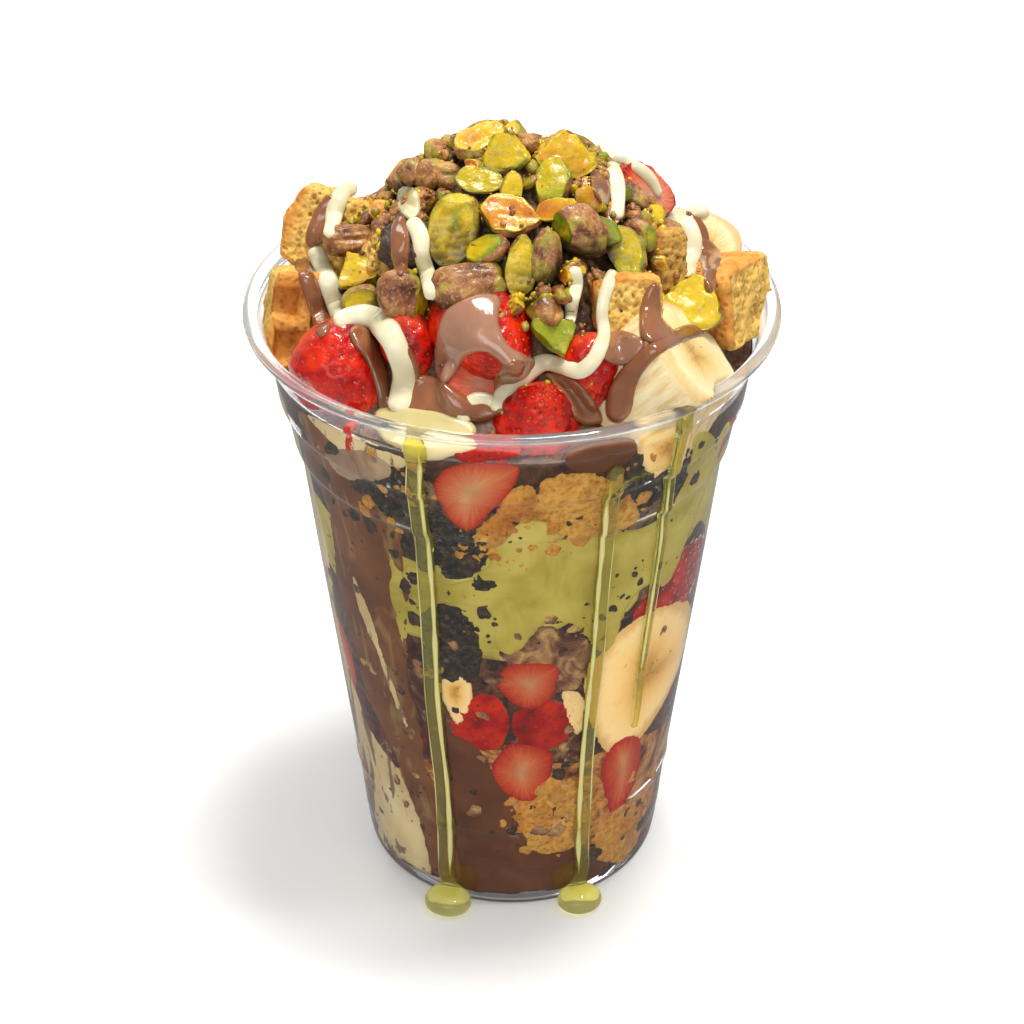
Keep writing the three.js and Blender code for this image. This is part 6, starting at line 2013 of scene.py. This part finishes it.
def syrup_run(path, width, swell=1.25, bead=0.0, seed=0):
    """A run of syrup down the outside of the wall, its back just inside it."""
    pts = open_curve(path, 0.7)
    n = len(pts)
    idx = np.arange(n)
    w = np.interp(np.linspace(0, 1, n), np.linspace(0, 1, len(width)), width)
    w = w * (1 + 0.07 * vnoise(np.column_stack([idx * 0.08, np.full(n, seed), np.zeros(n)]), seed))
    for rib in (20.4, 92.6, 102.0, 111.6):
        w = w * (1 + 0.16 * np.exp(-(((pts[:, 1] - rib) / 2.2) ** 2)))
    deep = swell * (0.62 + 0.38 * w / w.max())
    start = idx * 0.7 / (w * 0.5)
    end = idx[::-1] * 0.7 / (w * 0.5)
    cap = np.maximum(quarter(start, 1.3), 0.05)
    if not bead:
        cap = cap * np.maximum(quarter(end, 1.0), 0.05)
    m = 15
    th = np.linspace(0, math.pi, m)
    rows = []
    for k in range(n):
        a, z = pts[k]
        r0 = float(outer(np.clip(z, 0, 116.6))) if z < 116.6 else 46.1 + (z - 116.6) * 1.1
        half = w[k] / 2 * cap[k]
        side = half * np.cos(th)
        out = -0.04 + deep[k] * cap[k] * np.sin(th) ** 0.8
        ang = np.radians(a) + side / r0
        rows.append(np.stack([(r0 + out) * np.sin(ang), -(r0 + out) * np.cos(ang), np.full(m, z)], -1))
    v = np.concatenate(rows)
    i = np.arange(n * m).reshape(n, m)
    j = np.roll(i, -1, 1)
    q = np.stack([i[:-1], i[1:], j[1:], j[:-1]], -1).reshape(-1, 4)
    c0, c1 = v[:m].mean(0), v[-m:].mean(0)
    v = np.concatenate([v, [c0, c1]])
    a0, a1 = len(v) - 2, len(v) - 1
    t = np.concatenate([np.stack([np.full(m, a0), i[0], j[0]], -1), np.stack([np.full(m, a1), j[-1], i[-1]], -1)])
    body = Mesh(v, t, q)
    vol = np.einsum("ij,ij->i", body.v[body.tris()[:, 0]], np.cross(body.v[body.tris()[:, 1]], body.v[body.tris()[:, 2]])).sum()
    if vol < 0:
        body.t, body.q = body.t[:, ::-1], body.q[:, ::-1]
    return body


def syrup_bead(angle, size, seed):
    """A drop that rests on the ground against the foot."""
    v, t = ball(5)
    a = math.radians(angle)
    r = 27.25 + size / 2 - 0.4
    v = v.copy()
    low = np.where(v[:, 2] < 0, 0.62, 1.0)
    p = v * (size * 0.52, size * 0.47, 3.0) * np.column_stack([np.ones(len(v)), np.ones(len(v)), low])
    p[:, 2] = np.maximum(p[:, 2], -1.55)
    p *= (1 + 0.02 * vnoise(v * 2, seed))[:, None]
    rot = np.array([[math.cos(a), -math.sin(a), 0], [math.sin(a), math.cos(a), 0], [0, 0, 1]])
    p = p @ rot.T + (r * math.sin(a), -r * math.cos(a), 1.62)
    p[:, 2] = np.maximum(p[:, 2], 0.03)
    return Mesh(p, t)


def fused(meshes, voxel):
    """Several closed meshes made one smooth skin."""
    m = join(meshes)
    me = bpy.data.meshes.new("fuse")
    me.from_pydata(m.v.tolist(), [], m.t.tolist() + m.q.tolist())
    obj = bpy.data.objects.new("fuse", me)
    bpy.context.scene.collection.objects.link(obj)
    rem = obj.modifiers.new("r", "REMESH")
    rem.mode, rem.voxel_size = "VOXEL", voxel
    sm = obj.modifiers.new("s", "SMOOTH")
    sm.iterations, sm.factor = 6, 0.5
    dep = bpy.context.evaluated_depsgraph_get()
    done = obj.evaluated_get(dep).to_mesh()
    v = np.empty(len(done.vertices) * 3)
    done.vertices.foreach_get("co", v)
    quads = np.array([list(p.vertices) for p in done.polygons if len(p.vertices) == 4])
    tris = [list(p.vertices) for p in done.polygons if len(p.vertices) == 3]
    obj.evaluated_get(dep).to_mesh_clear()
    bpy.data.objects.remove(obj)
    bpy.data.meshes.remove(me)
    return Mesh(v.reshape(-1, 3), np.array(tris).reshape(-1, 3) if tris else None, quads)


SYRUP = [
    ("syrup_drip_left", [(414, 433), (415, 446), (416, 462), (418, 500), (424, 540), (427, 580), (430, 620), (432, 660), (434, 700), (438, 740), (443, 780), (446, 820), (447, 850), (447, 872)],
     [4.8, 3.8, 3.6, 3.7, 3.8, 3.7, 3.8, 3.9, 3.8, 3.7, 3.8, 3.7, 3.6], (-23.4, 9.0)),
    ("syrup_drip_right", [(617, 464), (614, 480), (610, 505), (606, 540), (602, 580), (599, 620), (596, 655), (591, 700), (586, 750), (583, 800), (581, 840), (581, 870)],
     [3.4, 3.6, 3.3, 3.3, 3.5, 3.2, 2.9, 2.8, 3.1, 3.3, 3.4, 3.5], (25.0, 8.5)),
    ("syrup_drip_side", [(688, 405), (685, 415), (680, 440), (674, 468), (667, 500), (661, 535), (656, 570), (650, 608), (645, 640), (640, 675), (637, 705), (633, 728)],
     [4.2, 3.2, 2.6, 2.4, 2.3, 2.2, 2.1, 2.0, 1.8, 1.7, 1.5, 1.3], None),
]
SYRUP = [(node, [tuple(p) for p in wall_at(path, WALL)] + ([(bead[0], 2.2)] if bead else []), width, bead) for node, path, width, bead in SYRUP]
for k, (node, path, width, bead) in enumerate(SYRUP):
    parts = [syrup_run(path, width, 1.15, 1.0 if bead else 0.0, k)]
    if bead:
        parts.append(syrup_bead(bead[0], bead[1], k))
    made = fused(parts, 0.30) if bead else parts[0]
    made.v[:, 2] = np.maximum(made.v[:, 2], 0.02)
    if bead:
        made.tm = (made.v[made.t][:, :, 2].mean(1) < 4.2).astype(int)
        made.qm = (made.v[made.q][:, :, 2].mean(1) < 4.2).astype(int)
    emit(node + "_seen", made, [MAT["syrup"], MAT["bead"]] if bead else MAT["syrup"], node)


def syrup_highlight_line(path, shift, radius, seed):
    """A fine pale line along one side of a run of syrup: a painted highlight where light runs along the drip's edge."""
    pts = open_curve(path, 0.9)
    n = len(pts)
    idx = np.arange(n)
    r0 = np.where(pts[:, 1] < 116.6, outer(pts[:, 1]), 46.1 + (pts[:, 1] - 116.6) * 1.1) + 0.62
    w = shift * (1 + 0.10 * vnoise(np.column_stack([idx * 0.08, np.full(n, seed), np.zeros(n)]), seed))
    ang = np.radians(pts[:, 0]) + w / r0
    p = np.column_stack([r0 * np.sin(ang), -r0 * np.cos(ang), pts[:, 1]])
    r = radius * (0.75 + 0.5 * (vnoise(np.column_stack([idx * 0.21, np.full(n, seed + 3.0), np.zeros(n)]), seed) * 0.5 + 0.5))
    ends = np.clip(np.minimum(idx, idx[::-1]) / 6.0, 0.1, 1)
    out = np.column_stack([np.sin(ang), -np.cos(ang), np.zeros(n)])
    return tube(p, r * ends, 8, 0.8, out)


# pale lines laid along the drips: painted highlights
g = clear_material("syrup_painted_highlight", lin(232, 224, 156), 0.05, 1.33, lin(236, 230, 150))
g.set(Transmission_Weight=0.3)
edges = []
for k, (node, path, width, bead) in enumerate(SYRUP):
    inset = path[1:-1] if bead else path[1:-2]
    half, side = (1.45, 1) if k == 0 else ((1.25, -1) if k == 1 else (0.75, -1))
    edges += [syrup_highlight_line(inset, side * half * 0.72, 0.46 if bead else 0.30, k), syrup_highlight_line(inset, -side * half * 1.02, 0.13, k + 5)]
emit("syrup_painted_highlights", join(edges), g.material)
branch = [tuple(p) for p in wall_at([(617, 492), (628, 482), (640, 476), (656, 470), (672, 466)], WALL)]
emit("syrup_branch", syrup_run(branch, [1.8, 1.8, 1.6], 0.7, 0.0, 9), MAT["syrup"])

# ------------------------------------------------------------------ floor and light
floor_mesh = bpy.data.meshes.new("floor")
floor_mesh.from_pydata([(-3, -3, 0), (3, -3, 0), (3, 3, 0), (-3, 3, 0)], [], [(0, 1, 2, 3)])
floor = bpy.data.objects.new("floor", floor_mesh)
bpy.context.scene.collection.objects.link(floor)
g = Graph("pale_floor")
g.set(Base_Color=(0.95, 0.95, 0.95, 1), Roughness=0.9, Specular_IOR_Level=0.1, Emission_Color=(1, 1, 1, 1), Emission_Strength=0.10)
floor_mesh.materials.append(g.material)
floor.location = (0, 0, -0.00002)
floor.visible_glossy = False


def lamp(name, at, size, power, colour=(1, 1, 1), aim=(0, 0, 0.075)):
    data = bpy.data.lights.new(name, "AREA")
    data.shape, data.size, data.size_y = "RECTANGLE", size[0], size[1]
    data.energy, data.color = power, colour
    obj = bpy.data.objects.new(name, data)
    bpy.context.scene.collection.objects.link(obj)
    obj.location = at
    obj.rotation_euler = (Vector(aim) - Vector(at)).to_track_quat("-Z", "Y").to_euler()
    return obj


lamp("key", (0.15, 0.05, 1.10), (0.26, 0.26), 9.2, (1.0, 0.985, 0.95))
lamp("spark", (0.30, -0.16, 1.0), (0.08, 0.08), 1.3, (1.0, 0.985, 0.95))
lamp("front", (-0.15, -1.05, 0.75), (0.9, 0.5), 3.9, (1.0, 1.0, 1.0))
lamp("back", (-0.3, 0.75, 0.8), (0.5, 0.4), 2.4)

world = bpy.data.worlds.new("studio")
bpy.context.scene.world = world
world.use_nodes = True
world.node_tree.nodes["Background"].inputs[0].default_value = (1.0, 1.0, 1.0, 1.0)
world.node_tree.nodes["Background"].inputs[1].default_value = 0.40
bpy.context.scene.view_settings.view_transform = "Standard"
bpy.context.scene.view_settings.look = "None"
bpy.context.scene.cycles.transparent_max_bounces = 24
bpy.context.scene.cycles.max_bounces = 14
bpy.context.scene.cycles.transmission_bounces = 12

total = 0
for o in ALL_PIECES:
    count = sum(len(p.vertices) - 2 for p in o.data.polygons)
    total += count
    if count > 60000:
        print("triangles", o.name, count)
print("pieces", len(ALL_PIECES), "triangles in all", total)
